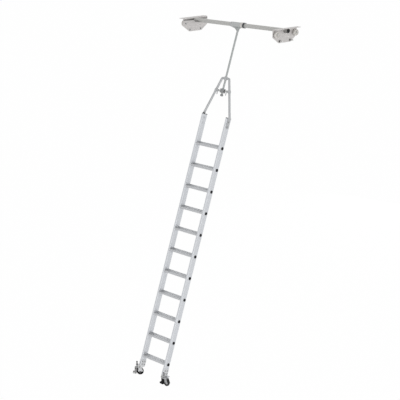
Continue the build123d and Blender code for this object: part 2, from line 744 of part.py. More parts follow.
def castor_shoe():
    """The right shoe: two cheeks that lean with the stile, on a level base that runs outboard."""
    outer = LADDER_WIDTH / 2
    cheek = RectangleRounded(SHOE_LENGTH, 2 * SHOE_HEIGHT, SHOE_ROUND)
    cheeks = extrude(Plane.YZ.offset(STILE_IN - SHOE_SHEET) * cheek, SHOE_SHEET)
    cheeks += extrude(Plane.YZ.offset(outer) * cheek, SHOE_SHEET)
    cheeks = LADDER * Pos(0, 0, -STILE_FOOT_S) * cheeks
    low_half = Pos(LADDER_OFFSET + outer, KING_Y, SHOE_TOP_Z - SHOE_HEIGHT)
    cheeks -= low_half * Box(CUT_BOX, CUT_BOX, 2 * SHOE_HEIGHT)
    inner_x = LADDER_OFFSET + STILE_IN - SHOE_SHEET
    outer_x = stile_foot_x(1) + SHOE_OUTBOARD + RACE_D / 2
    base = RectangleRounded(outer_x - inner_x, SHOE_LENGTH + 2 * SHOE_ROUND, SHOE_ROUND)
    base = Pos((inner_x + outer_x) / 2, KING_Y, SHOE_BASE_Z) * extrude(base, SHOE_SHEET)
    base += stud_place(1) * rod_z(STUD_PAD_R, 0, SHOE_SHEET)
    front = STUD_FORWARD + STUD_PAD_R
    ear_end = stile_foot_x(1) + SHOE_OUTBOARD + STUD_PAD_R
    ear_width = ear_end - (LADDER_OFFSET + outer + SHOE_SHEET / 2)
    ear_place = Pos(ear_end - ear_width / 2, KING_Y - (front + STUD_EAR_BACK) / 2, SHOE_BASE_Z + STUD_EAR)
    ear = ear_place * Box(ear_width, front - STUD_EAR_BACK, SHOE_SHEET)
    ear = fillet(ear.edges().filter_by(Axis.Z).group_by(Axis.X)[-1], SHOE_ROUND)
    shoe = cheeks + base + ear
    shoe -= king_place(1) * rod_z(KING_PIN_D / 2 + HOLE_FIT, 0, SHOE_SHEET)
    shoe -= stud_place(1) * rod_z(STUD_D / 2 + HOLE_FIT, 0, STUD_HEIGHT)
    for y, z in shoe_bolt_points():
        shoe -= LADDER * Pos(0, y, z) * rod_x(SHOE_BOLT_D / 2 + HOLE_FIT, 0, LADDER_WIDTH)
    return shoe


def mirror_ladder(shape):
    """The mirror image about the ladder's middle."""
    return mirror(shape, Plane.YZ.offset(LADDER_OFFSET))


def king_place(sign):
    """The king pin's axis at the shoe's underside, on the right (1) or left (-1)."""
    return Pos(stile_foot_x(sign) + sign * SHOE_OUTBOARD, KING_Y, SHOE_BASE_Z)


def stud_place(sign):
    """The stud's axis at the shoe's underside."""
    return Pos(0, -STUD_FORWARD, 0) * king_place(sign)


def shoe_studs():
    """Upright studs in front of the stiles, each with a collar on both sides of its ear and a head."""
    ear_low = STUD_EAR - SHOE_SHEET / 2
    ear_high = STUD_EAR + SHOE_SHEET / 2
    stud = rod_z(STUD_D / 2, 0, STUD_HEIGHT)
    for low in (ear_low - STUD_COLLAR, ear_high, STUD_HEIGHT - STUD_COLLAR):
        stud += rod_z(STUD_COLLAR_D / 2, low, low + STUD_COLLAR)
    return group([stud_place(-1) * stud, stud_place(1) * stud])


def castor_shoes():
    shoe = castor_shoe()
    return group([shoe, mirror_ladder(shoe)])


def shoe_bolts():
    bolt = through_bolt(
        SHOE_BOLT_D,
        STILE_IN - SHOE_SHEET,
        LADDER_WIDTH / 2 + SHOE_SHEET,
        CLAMP_HEX_FLATS,
        CLAMP_HEX_HEIGHT,
    )
    placed = [Pos(0, y, z) * bolt for y, z in shoe_bolt_points()]
    return LADDER * group(placed + [mirror_x(one) for one in placed])


def swivel_head():
    """Race and king pin in one turned piece, from the shoe's underside, with a head at each end."""
    fork_low = -RACE_HEIGHT - 2 * SIDE_GAP - FORK_CROWN
    pin = KING_PIN_D / 2
    head = KING_HEAD_D / 2
    outline = [
        (0, SHOE_SHEET + KING_HEAD),
        (head, SHOE_SHEET + KING_HEAD),
        (head, SHOE_SHEET),
        (pin, SHOE_SHEET),
        (pin, 0),
        (RACE_D / 2, 0),
        (RACE_D / 2, -RACE_HEIGHT / 2),
        (RACE_D / 2 - EDGE_BREAK, -RACE_HEIGHT),
        (pin, -RACE_HEIGHT),
        (pin, fork_low),
        (head, fork_low),
        (head, fork_low - KING_HEAD),
        (0, fork_low - KING_HEAD),
    ]
    return revolve(Plane.XZ * make_face(Polyline(*outline, close=True)), Axis.Z, 360)


def swivel_heads():
    head = swivel_head()
    return group([king_place(-1) * head, king_place(1) * head])


def castor_fork():
    """A folded fork, wheel trailing along +X from the king pin, with a tongue for the pedal."""
    top = -RACE_HEIGHT - SIDE_GAP
    skirt = RectangleRounded(FORK_SKIRT_LENGTH, FORK_SKIRT_HEIGHT, FORK_SKIRT_ROUND)
    crown = Pos(0, top - FORK_CROWN / 2) * Rectangle(2 * FORK_HALF, FORK_CROWN)
    skirt = Pos(TRAIL + FORK_SKIRT_SHIFT, WHEEL_Z) * skirt
    sides = make_hull(skirt.edges() + crown.edges())
    fork = extrude(Plane.XZ * sides, FORK_HALF, both=True)
    fork -= Pos(0, 0, top - FORK_CROWN - CUT_BOX / 2) * Box(CUT_BOX, FORK_INSIDE, CUT_BOX)
    root = Pos(-FORK_HALF + FORK_CROWN / 2, top - FORK_CROWN / 2) * Rectangle(FORK_CROWN, FORK_CROWN)
    tip = Pos(-PEDAL_REACH, -PEDAL_DROP) * Circle(TONGUE_R)
    fork += extrude(Plane.XZ * make_hull(root.edges() + tip.edges()), TONGUE_WIDTH / 2, both=True)
    fork -= rod_z(KING_PIN_D / 2 + RUNNING_FIT, -CASTOR_HEIGHT, 0)
    fork -= Pos(TRAIL, 0, WHEEL_Z) * rod_y(CASTOR_AXLE_D / 2 + HOLE_FIT, FORK_HALF)
    return fork - Pos(-PEDAL_REACH, 0, -PEDAL_DROP) * rod_y(PEDAL_PIN_D / 2 + HOLE_FIT, FORK_HALF)


def headed_pin(radius, seat):
    """A pin along Y with a flat head at both ends, outside the seat."""
    pin = rod_y(radius, seat + FORK_SHEET)
    for side in (-1, 1):
        pin += Pos(0, side * (seat + FORK_SHEET / 2), 0) * rod_y(2 * radius, FORK_SHEET / 2)
    return pin


def castor_pins():
    """The wheel's axle and the pedal's pin."""
    axle = Pos(TRAIL, 0, WHEEL_Z) * headed_pin(CASTOR_AXLE_D / 2, FORK_HALF)
    pin = Pos(-PEDAL_REACH, 0, -PEDAL_DROP) * headed_pin(PEDAL_PIN_D / 2, FORK_HALF + SIDE_GAP)
    return group([axle, pin])


def castor_wheel():
    """The moulded wheel core with a hub that fills the fork and a dished web."""
    hub_half = FORK_INSIDE / 2 - SIDE_GAP
    rim = WHEEL_D / 2 - TYRE_THICK
    half = TYRE_WIDTH / 2
    web = WHEEL_WEB / 2
    right = [
        (hub_half, CASTOR_AXLE_D / 2 + RUNNING_FIT),
        (hub_half, CASTOR_AXLE_D),
        (web, CASTOR_AXLE_D + EDGE_BREAK),
        (web, rim - EDGE_BREAK),
        (half, rim - EDGE_BREAK / 2),
        (half, rim),
    ]
    left = [(-x, radius) for x, radius in reversed(right)]
    return Pos(TRAIL, 0, WHEEL_Z) * Rot(0, 0, 90) * turned_x(right + left)


def castor_tyre():
    tyre = rod_x(WHEEL_D / 2, -TYRE_WIDTH / 2, TYRE_WIDTH / 2)
    tyre = fillet(tyre.edges(), TYRE_ROUND)
    tyre -= rod_x(WHEEL_D / 2 - TYRE_THICK, -TYRE_WIDTH / 2, TYRE_WIDTH / 2)
    return Pos(TRAIL, 0, WHEEL_Z) * Rot(0, 0, 90) * tyre


def brake_pedal():
    """An L-shaped foot lever astride the fork's tongue, whose arm presses on the tyre."""
    heel = PEDAL_DROP + PEDAL_ARM
    arm = Pos(-PEDAL_REACH, -(PEDAL_DROP + heel) / 2) * SlotCenterToCenter(PEDAL_ARM, PEDAL_THICK, 90)
    toe = Pos(-PEDAL_REACH - PEDAL_TOE / 2, -heel) * SlotCenterToCenter(PEDAL_TOE, PEDAL_TOE_THICK)
    pedal = extrude(Plane.XZ * arm, FORK_HALF, both=True)
    pedal += extrude(Plane.XZ * toe, PEDAL_TOE_WIDTH / 2, both=True)
    slot_low = -PEDAL_DROP - TONGUE_R - TONGUE_ROOM
    slot = Box(CUT_BOX, TONGUE_WIDTH + 2 * SIDE_GAP, CUT_BOX)
    pedal -= Pos(0, 0, slot_low + CUT_BOX / 2) * slot
    return pedal - Pos(-PEDAL_REACH, 0, -PEDAL_DROP) * rod_y(PEDAL_PIN_D / 2 + RUNNING_FIT, FORK_HALF)


def castor_pieces():
    makers = {
        "castor_fork": castor_fork,
        "castor_pins": castor_pins,
        "castor_wheel": castor_wheel,
        "castor_tyre": castor_tyre,
        "brake_pedal": brake_pedal,
    }
    pieces = {}
    for name, maker in makers.items():
        shape = maker()
        pieces[name + "_left"] = king_place(-1) * Rot(0, 0, TRAIL_LEFT) * shape
        pieces[name + "_right"] = king_place(1) * Rot(0, 0, TRAIL_RIGHT) * shape
    return pieces


def ladder_pair(name, shape):
    """A right-hand piece of the leaning frame and its mirror image, as two named pieces."""
    return {f"{name}_left": LADDER * mirror_x(shape), f"{name}_right": LADDER * shape}


def ladder_steps():
    tread = step()
    return {f"step_{k + 1:02d}": LADDER * step_frame(s) * tread for k, s in enumerate(STEP_S)}


def carriage_plates():
    plate = carriage_plate()
    return {"carriage_plate_left": mirror_x(plate), "carriage_plate_right": plate}


def all_pieces():
    pieces = {
        "traverse_tube": traverse_tube(),
        "tube_end_caps": tube_end_caps(),
        "set_collars": set_collars(),
        "thrust_ring": thrust_ring(),
        "roller_axles": roller_axles(),
        "axle_spacers": axle_spacers(),
        "retaining_pins": retaining_pins(),
        "carriage_nuts": carriage_nuts(),
        "tee_sleeve": tee_sleeve(),
        "sleeve_bushes": sleeve_bushes(),
        "hanger_rod": hanger_rod(),
        "hanger_gussets": hanger_gussets(),
        "rod_knob": rod_knob(),
        "guide_bush_upper": guide_bush(-HEAD_S, GUIDE_SLEEVE_LENGTH, True),
        "guide_bush_lower": guide_bush(-BLOCK_S, BLOCK_HEIGHT, False),
        "guide_sleeve": guide_sleeve(),
        "lug_bolts": lug_bolts(),
        "tube_clamps": LADDER * group(both_sides(tube_clamp())),
        "clamp_bolts": LADDER * group(both_sides(clamp_bolt())),
        "eye_bolts": LADDER * group(both_sides(eye_bolt())),
        "lock_nuts": LADDER * group(both_sides(lock_nut())),
        "swivel_block": swivel_block(),
        "step_screws": step_screws(),
        "step_plugs": step_plugs(),
        "stile_caps": stile_caps(),
        "castor_shoes": castor_shoes(),
        "shoe_bolts": shoe_bolts(),
        "shoe_studs": shoe_studs(),
        "swivel_heads": swivel_heads(),
    }
    pieces.update(carriage_plates())
    pieces.update(rollers())
    pieces.update(ladder_pair("head_tube", head_tube()))
    pieces.update(ladder_pair("stile", stile()))
    pieces.update(ladder_steps())
    pieces.update(castor_pieces())
    return pieces


os.makedirs("parts", exist_ok=True)
for node, shape in all_pieces().items():
    export_step(shape, f"parts/{node}.step")
    print(node, len(shape.solids()), round(shape.volume), shape.is_valid)
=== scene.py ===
# %% [markdown]
# # A shelf ladder on rails
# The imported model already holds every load-bearing piece of the ladder: the roller carriages, the
# traverse tube, the hanging rod, the head, the stiles, the steps and the castors. This lesson dresses it.
# It makes the finishes from node maths, and adds the small work that a maker leaves behind: weld beads,
# washers, threads, moulded ribs, grip bars and rubber pieces. All lengths are metres, in the packed
# model's own frame.

import json
import math

import bmesh
import bpy
from mathutils import Matrix, Vector


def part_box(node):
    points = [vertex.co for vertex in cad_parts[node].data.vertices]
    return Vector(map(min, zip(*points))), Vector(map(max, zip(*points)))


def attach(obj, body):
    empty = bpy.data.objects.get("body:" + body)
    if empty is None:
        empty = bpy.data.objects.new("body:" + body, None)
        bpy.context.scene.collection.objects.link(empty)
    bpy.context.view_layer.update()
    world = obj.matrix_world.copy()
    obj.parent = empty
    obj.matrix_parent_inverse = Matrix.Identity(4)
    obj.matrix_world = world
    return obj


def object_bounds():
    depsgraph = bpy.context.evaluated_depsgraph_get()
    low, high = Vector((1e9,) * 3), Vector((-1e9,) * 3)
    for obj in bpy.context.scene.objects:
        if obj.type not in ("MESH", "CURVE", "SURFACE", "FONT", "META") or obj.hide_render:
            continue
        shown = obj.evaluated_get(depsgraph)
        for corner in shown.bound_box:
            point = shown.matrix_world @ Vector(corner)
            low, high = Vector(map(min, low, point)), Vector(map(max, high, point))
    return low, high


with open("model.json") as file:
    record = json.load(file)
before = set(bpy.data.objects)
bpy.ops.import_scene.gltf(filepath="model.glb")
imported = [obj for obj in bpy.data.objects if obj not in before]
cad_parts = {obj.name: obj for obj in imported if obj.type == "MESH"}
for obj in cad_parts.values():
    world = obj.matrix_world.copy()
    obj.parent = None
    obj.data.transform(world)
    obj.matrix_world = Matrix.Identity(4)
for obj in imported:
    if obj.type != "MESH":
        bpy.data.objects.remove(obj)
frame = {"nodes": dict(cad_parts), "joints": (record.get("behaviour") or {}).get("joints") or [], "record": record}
cad_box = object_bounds()
nodes = frame["nodes"]
record = frame["record"]
joints = {joint["name"]: joint for joint in frame["joints"]}
hanger_pivot = Vector(joints["hanger_tilt"]["pos_m"])
print("nodes", len(nodes), "height", round(cad_box[1].z - cad_box[0].z, 3))


def new_object(name, data):
    """An object in the scene, at the origin."""
    made = bpy.data.objects.new(name, data)
    bpy.context.scene.collection.objects.link(made)
    return made


# %% [markdown]
# ## Camera
# The picture was taken from the climber's right, a little above the traverse's level, with a long lens.
# The lens is set from its focal length in pixels, because that is what can be measured in a picture,
# and the camera is placed by its direction from the ladder, so no constraint is needed.

# %% Camera
PICTURE_SIDE = 400
FOCAL_PIXELS = 1186.0
SENSOR_WIDTH = 36.0
VIEW_TURN = math.radians(45.04)
VIEW_RISE = math.radians(15.56)
CAMERA_PLACE = Vector((9.7796, -10.4182, 1.8650))

back = Vector((
    math.sin(VIEW_TURN) * math.cos(VIEW_RISE),
    -math.cos(VIEW_TURN) * math.cos(VIEW_RISE),
    math.sin(VIEW_RISE),
))
camera = new_object("picture_camera", bpy.data.cameras.new("picture_camera"))
camera.data.sensor_width = SENSOR_WIDTH
camera.data.lens = SENSOR_WIDTH * FOCAL_PIXELS / PICTURE_SIDE
camera.data.clip_end = 400.0
camera.location = CAMERA_PLACE
camera.rotation_mode = "QUATERNION"
camera.rotation_quaternion = (-back).to_track_quat("-Z", "Y")
bpy.context.scene.camera = camera
bpy.context.scene.view_settings.view_transform = "Standard"
print("lens", round(camera.data.lens, 1), "mm")

# %% [markdown]
# ## Node maths as Python
# A shader graph is easier to read as an expression than as a list of links. One small class wraps an
# output socket. Its operators add Math nodes, and its one maker method adds any other node, first with
# its settings and then with the values or links of its sockets.


# %% A socket that does maths
class Wire:
    """An output socket of a node tree."""

    def __init__(self, socket):
        self.socket = socket
        self.tree = socket.id_data

    @classmethod
    def node(cls, tree, kind, settings=None, sockets=None, out=0):
        made = tree.nodes.new(kind)
        for name, value in (settings or {}).items():
            if name == "stops":
                cls.set_stops(made.color_ramp, value)
            else:
                setattr(made, name, value)
        for name, value in (sockets or {}).items():
            for one in value if isinstance(value, list) else [value]:
                if isinstance(one, Wire):
                    tree.links.new(one.socket, made.inputs[name])
                else:
                    made.inputs[name].default_value = one
        return cls(made.outputs[out])

    @staticmethod
    def set_stops(ramp, stops):
        while len(ramp.elements) < len(stops):
            ramp.elements.new(1.0)
        for element, (place, grey) in zip(ramp.elements, stops):
            element.position = place
            element.color = (grey, grey, grey, 1.0)

    def other(self, name):
        """Another output of the same node."""
        return Wire(self.socket.node.outputs[name])

    def maths(self, operation, first, second):
        return Wire.node(self.tree, "ShaderNodeMath", {"operation": operation}, {0: first, 1: second})

    def __add__(self, value):
        return self.maths("ADD", self, value)

    def __radd__(self, value):
        return self.maths("ADD", value, self)

    def __sub__(self, value):
        return self.maths("SUBTRACT", self, value)

    def __rsub__(self, value):
        return self.maths("SUBTRACT", value, self)

    def __mul__(self, value):
        return self.maths("MULTIPLY", self, value)

    def __truediv__(self, value):
        return self.maths("DIVIDE", self, value)

    def __abs__(self):
        return self.maths("ABSOLUTE", self, 0.0)


print("Wire adds", Wire.node.__name__, "and", Wire.maths.__name__)

# %% [markdown]
# ## Stage
# The ladder stands on a plain pale floor in a white studio. The world and the floor look white to the
# camera and in reflections, and light the ladder at a plain level, so that each finish shows about the
# colour that it is given. The floor keeps a soft part of the castors' shadow.

# %% Floor, world and lamps
FLOOR_SIDE = 500.0
FLOOR_GREY = 0.90
FLOOR_WHITE_SHARE = 0.985
SKY_LEVEL = 0.70
LADDER_MIDDLE = (cad_box[0] + cad_box[1]) / 2


def seen_directly(tree):
    """1 for rays from the camera, from a mirror or through glass, and 0 for rays that carry light."""
    path = Wire.node(tree, "ShaderNodeLightPath", out="Is Camera Ray")
    share = path + path.other("Is Glossy Ray") + path.other("Is Transmission Ray")
    return share.maths("MINIMUM", share, 1.0)


def pale_floor():
    half = FLOOR_SIDE / 2
    corners = [(-half, -half), (half, -half), (half, half), (-half, half)]
    mesh = bpy.data.meshes.new("floor")
    mesh.from_pydata([(x, y, cad_box[0].z) for x, y in corners], [], [(0, 1, 2, 3)])
    floor = new_object("floor", mesh)
    material = bpy.data.materials.new("pale_floor")
    material.use_nodes = True
    tree = material.node_tree
    shader = tree.nodes["Principled BSDF"]
    shader.inputs["Base Color"].default_value = (FLOOR_GREY, FLOOR_GREY, FLOOR_GREY, 1.0)
    shader.inputs["Roughness"].default_value = 0.9
    white = Wire.node(tree, "ShaderNodeEmission", None, {"Strength": 1.0})
    share = seen_directly(tree) * FLOOR_WHITE_SHARE
    mixed = Wire.node(tree, "ShaderNodeMixShader", None, {0: share, 1: Wire(shader.outputs[0]), 2: white})
    tree.links.new(mixed.socket, tree.nodes["Material Output"].inputs["Surface"])
    mesh.materials.append(material)


def white_world():
    world = bpy.data.worlds.new("white_studio")
    world.use_nodes = True
    bpy.context.scene.world = world
    sky = world.node_tree.nodes["Background"]
    sky.inputs["Color"].default_value = (1.0, 1.0, 1.0, 1.0)
    strength = SKY_LEVEL + seen_directly(world.node_tree) * (1.0 - SKY_LEVEL)
    world.node_tree.links.new(strength.socket, sky.inputs["Strength"])


def soft_lamp(name, offset, side, watts):
    """A large square lamp that faces the ladder's middle."""
    lamp = new_object(name, bpy.data.lights.new(name, "AREA"))
    lamp.data.size = side
    lamp.data.energy = watts
    lamp.location = LADDER_MIDDLE + Vector(offset)
    lamp.rotation_mode = "QUATERNION"
    lamp.rotation_quaternion = (-Vector(offset)).to_track_quat("-Z", "Y")
    lamp.visible_camera = False


pale_floor()
white_world()
soft_lamp("right_lamp", (8.0, -3.5, 0.0), 4.0, 190.0)
soft_lamp("rear_lamp", (-2.0, 8.0, -1.0), 4.0, 120.0)

# %% [markdown]
# ## Finishes: the tools
# Every finish starts from Object coordinates, which are metres in the ladder's frame, so a pattern has
# its real scale. The ladder leans, so the stiles' drawn lines need a turned and stretched space: a
# Mapping node of the Texture kind turns first and then stretches. Colours are mixed, never multiplied in
# a Math node, because that would turn them grey.

# %% Pattern helpers
slide_axis = Vector(joints["guide_slide"]["axis"])
LEAN = math.atan2(slide_axis.y, slide_axis.z)
ALONG_LADDER = (-LEAN, 0.0, 0.0)
ALONG_TRAVERSE = (0.0, math.radians(90.0), 0.0)
DRAWN_STRETCH = 60.0


def place_of(tree, turn=None, stretch=1.0):
    """Object coordinates, turned so that Z runs along the piece and stretched along it."""
    place = Wire.node(tree, "ShaderNodeTexCoord", out="Object")
    if turn is None:
        return place
    scale = (1.0, 1.0, stretch)
    return Wire.node(
        tree, "ShaderNodeMapping", {"vector_type": "TEXTURE"}, {0: place, "Rotation": turn, "Scale": scale}
    )


def part_of(vector, axis):
    """One axis of a vector. Its other() gives the other two."""
    return Wire.node(vector.tree, "ShaderNodeSeparateXYZ", None, {0: vector}, axis)


def normal_of(tree):
    """The direction in which a face looks."""
    return Wire.node(tree, "ShaderNodeTexCoord", out="Normal")


def grain(place, per_metre, detail=3.0, roughness=0.55):
    """Noise from 0 to 1 with so many swells a metre."""
    sockets = {"Vector": place, "Scale": per_metre, "Detail": detail, "Roughness": roughness}
    return Wire.node(place.tree, "ShaderNodeTexNoise", None, sockets)


def spangle(place, per_metre):
    """One random number for each crystal of a zinc coat."""
    sockets = {"Vector": place, "Scale": per_metre}
    cell = Wire.node(place.tree, "ShaderNodeTexVoronoi", None, sockets, "Color")
    return Wire.node(place.tree, "ShaderNodeSeparateColor", None, {0: cell})


def ramp(value, *stops):
    """A value remapped through (place, grey) stops."""
    return Wire.node(value.tree, "ShaderNodeValToRGB", {"stops": stops}, {0: value})


def blend(share, low, high):
    """A colour between two colours."""
    sockets = {0: share, 6: low, 7: high}
    return Wire.node(share.tree, "ShaderNodeMix", {"data_type": "RGBA"}, sockets, 2)


def shade(colour, level):
    """A colour made lighter or darker, as a node's colour value."""
    return tuple(min(1.0, channel * level) for channel in colour) + (1.0,)


def upward(tree):
    """1 where a face looks up and 0 where it looks sideways or down."""
    height = part_of(normal_of(tree), "Z")
    return height.maths("MAXIMUM", height, 0.0)


def finish(name, recipe, **constants):
    """A material whose recipe gives base colour, roughness and the height for a bump."""
    material = bpy.data.materials.new(name)
    material.use_nodes = True
    tree = material.node_tree
    shader = tree.nodes["Principled BSDF"]
    for socket, value in constants.items():
        shader.inputs[socket.replace("_", " ")].default_value = value
    colour, roughness, height, depth = recipe(tree)
    tree.links.new(colour.socket, shader.inputs["Base Color"])
    tree.links.new(roughness.socket, shader.inputs["Roughness"])
    bump = Wire.node(tree, "ShaderNodeBump", None, {"Height": height, "Distance": depth})
    tree.links.new(bump.socket, shader.inputs["Normal"])
    return material


print("lean", round(math.degrees(LEAN), 2), "degrees")

# %% [markdown]
# ## Finishes: metals
# The stiles and steps are mill-finished aluminium, drawn through a die, so fine lines run along them and
# the tone drifts slowly. The steps are darker, and worn lighter where shoes land, with painted shade in
# their left corner. The stiles' rounded edges get a painted highlight. The traverse, rod and head are
# galvanised tube with a faint crystal pattern. The carriages are zinc-plated sheet, a little warm. The
# bolts are bright, the swivel block and knob are grey castings, and the studs are dark. Each recipe takes
# a base tone and how far it drifts, and gives a shallow bump. Masks paint shade on the plates under their
# folds and on the tube beside and inside the carriages, and lay dark bands along the castors' forks.

# %% Metal recipes
STREAKS_PER_METRE = 420.0
DRIFT_PER_METRE = 3.0
CRYSTALS_PER_METRE = 95.0
SCRATCHES_PER_METRE = 900.0
EDGE_HIGHLIGHT = 1.15
plate_low, plate_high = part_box("carriage_plate_right")
SHADE_BAND_Z = plate_high.z - 0.0225
SHADE_BAND_HALF = 0.013
FORK_EDGE_SLOPE = 0.143
FORK_EDGE_REACH = 0.0221
LEFT_DARK_EDGE_WIDTH = 0.006
RIGHT_DARK_EDGE_WIDTH = 0.012
TREAD_WORN_HALF = 0.15
TREAD_WORN_LEVEL = 1.45
CORNER_SHADE_REACH = 0.11
CORNER_SHADE_LEVEL = 0.4


def rounded_edges(tree, turn):
    """1 on the rounding between two long faces of a drawn tube, and 0 on the flat faces."""
    settings = {"rotation_type": "EULER_XYZ", "invert": True}
    sockets = {"Vector": normal_of(tree), "Rotation": turn}
    across = part_of(Wire.node(tree, "ShaderNodeVectorRotate", settings, sockets), "X")
    return ramp(abs(across * across.other("Y")), (0.1, 0.0), (0.35, 1.0))


def drawn_metal(colour, turn, rough, contrast):
    """Drawn or extruded metal: fine lines over a slow drift of tone, and a painted highlight on the rounded edges.
    """

    def recipe(tree):
        lines = grain(place_of(tree, turn, DRAWN_STRETCH), STREAKS_PER_METRE)
        drift = grain(place_of(tree), DRIFT_PER_METRE, 4.0)
        share = lines * 0.4 + drift * 0.6
        share = ramp(share, (0.3, 0.0), (0.7, 1.0))
        tone = blend(share, shade(colour, 1 - contrast), shade(colour, 1 + contrast))
        # A painted highlight on the rounded edges.
        tone = blend(rounded_edges(tree, turn), tone, shade(colour, EDGE_HIGHLIGHT))
        roughness = rough + (lines - 0.5) * 0.20 + (drift - 0.5) * 0.12
        return tone, roughness, lines, 0.00006

    return recipe


def shade_under_fold(tree):
    """Painted shade on a carriage plate's inner face, in a band under the fold that darkens towards the tube."""
    place = part_of(place_of(tree), "X")
    inner_face = ramp(0.0 - part_of(normal_of(tree), "X") * place, (0.4, 0.0), (0.6, 1.0))
    from_band = abs(place.other("Z") - SHADE_BAND_Z) / SHADE_BAND_HALF
    to_tube = (place.other("Y") - plate_low.y) / -plate_low.y
    along = ramp(to_tube, (0.0, 0.55), (0.85, 1.0), (1.0, 0.6))
    return inner_face * ramp(from_band, (0.55, 1.0), (1.0, 0.0)) * along


def shade_by_plates(tree):
    """Painted shade under the tube beside each plate, and all round the ends that the caps close."""
    from_middle = abs(part_of(place_of(tree), "X"))
    below = ramp(0.5 - part_of(normal_of(tree), "Z") * 0.5, (0.45, 0.0), (0.75, 1.0))
    beside = below * ramp(from_middle, (plate_low.x - 0.13, 0.0), (plate_low.x - 0.06, 0.75))
    ends = ramp(from_middle, (plate_low.x, 0.0), (plate_low.x + 0.01, 0.3))
    return beside.maths("MAXIMUM", beside, ends)


def castor_layout(side):
    """A castor's axle, its pedal's pin, and the level direction from the first towards the second."""
    axle = Vector(joints[f"wheel_{side}_spin"]["pos_m"])
    pin = Vector(joints[f"pedal_{side}_lift"]["pos_m"])
    return axle, pin, (pin - axle).xy.normalized().to_3d()


def above_axle(tree, side):
    """How far a point of a castor is above its wheel's axle, and how far towards its pedal."""
    place = part_of(place_of(tree), "X")
    axle, _, ahead = castor_layout(side)
    reach = (place - axle.x) * ahead.x + (place.other("Y") - axle.y) * ahead.y
    return place.other("Z") - axle.z, reach


def dark_fork_edge(tree, side, width):
    """A dark band along the edge of a castor's fork that faces the pedal."""
    height, reach = above_axle(tree, side)
    from_edge = (height * FORK_EDGE_SLOPE + FORK_EDGE_REACH - reach) / width
    return ramp(from_edge * 0.5 + 0.3, (0.20, 0.0), (0.26, 1.0), (0.70, 1.0), (0.90, 0.0))


def left_fork_dark_bands(tree):
    """The left fork's dark bands: a black one along its lower edge, and one at the top along the pedal's edge."""
    height, _ = above_axle(tree, "left")
    ragged = height + (grain(place_of(tree), 60.0, 5.0, 0.65) - 0.5) * 0.016
    below = ramp(ragged * 40.0 + 0.5, (0.54, 1.0), (0.68, 0.0))
    top = ramp(height * 20.0, (0.44, 0.0), (0.66, 1.0)) * dark_fork_edge(tree, "left", LEFT_DARK_EDGE_WIDTH)
    return below.maths("MAXIMUM", below, top)


def right_fork_dark_edge(tree):
    """A dark band along the whole edge of the right fork that faces the pedal."""
    return dark_fork_edge(tree, "right", RIGHT_DARK_EDGE_WIDTH)


def lighter_right_stud(tree):
    """1 on the right castor's stud, which is given a lighter tone, and 0 on the left one."""
    return ramp(part_of(place_of(tree), "X") * 10.0 + 0.5, (0.4, 0.0), (0.6, 1.0))


def coated_metal(colour, rough, contrast, crystals=CRYSTALS_PER_METRE, mask=None, level=0.15):
    """Coated steel: crystals of slightly different grey with handling marks, at another level in a mask."""

    def recipe(tree):
        place = place_of(tree)
        crystal = spangle(place, crystals)
        marks = grain(place, 24.0, 6.0, 0.65)
        share = crystal * 0.45 + marks * 0.55
        share = ramp(share, (0.2, 0.0), (0.8, 1.0))
        tone = blend(share, shade(colour, 1 - contrast), shade(colour, 1 + contrast))
        if mask:
            tone = blend(mask(tree), tone, shade(colour, level))
        roughness = rough + (crystal - 0.5) * 0.06 + (marks - 0.5) * 0.12
        return tone, roughness, grain(place, SCRATCHES_PER_METRE, 2.0), 0.00002

    return recipe


def worn_tread(colour, rough):
    """A step: drawn along X, with a lighter worn patch where shoes land and painted shade in the left corner."""
    left_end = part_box("stile_left")[1].x

    def recipe(tree):
        lines = grain(place_of(tree, ALONG_TRAVERSE, DRAWN_STRETCH), STREAKS_PER_METRE)
        place = place_of(tree)
        scuffs = grain(place, 38.0, 6.0, 0.7)
        across = part_of(place, "X")
        from_middle = abs(across - hanger_pivot.x) / TREAD_WORN_HALF
        worn = upward(tree) * ramp(from_middle - scuffs * 0.6, (0.25, 1.0), (0.9, 0.0))
        share = ramp(lines * 0.6 + scuffs * 0.4, (0.3, 0.0), (0.7, 1.0))
        plain = blend(share, shade(colour, 0.95), shade(colour, 1.05))
        tone = blend(worn * 0.4, plain, shade(colour, TREAD_WORN_LEVEL))
        # Painted shade in the left corner, beside the stile, on faces that look up.
        corner = upward(tree) * ramp((across - left_end) / CORNER_SHADE_REACH, (0.0, 1.0), (1.0, 0.0))
        tone = blend(corner * 0.55, tone, shade(colour, CORNER_SHADE_LEVEL))
        roughness = rough + (lines - 0.5) * 0.18 - worn * 0.10
        return tone, roughness, lines + scuffs * 0.5, 0.00012

    return recipe


STILE_TONE = (0.635, 0.652, 0.678)
STEP_TONE = (0.555, 0.565, 0.58)
TUBE_TONE = (0.505, 0.505, 0.490)
HANGER_TONE = (0.415, 0.435, 0.432)
SLEEVE_TONE = (0.495, 0.512, 0.510)
HEAD_TONE = (0.475, 0.485, 0.495)
PLATE_TONE = (0.615, 0.595, 0.585)
FORK_TONE = (0.62, 0.63, 0.64)
SHADED_FORK_TONE = (0.40, 0.41, 0.415)
BOLT_TONE = (0.60, 0.60, 0.59)
CAST_TONE = (0.30, 0.31, 0.315)
DARK_TONE = (0.07, 0.07, 0.072)

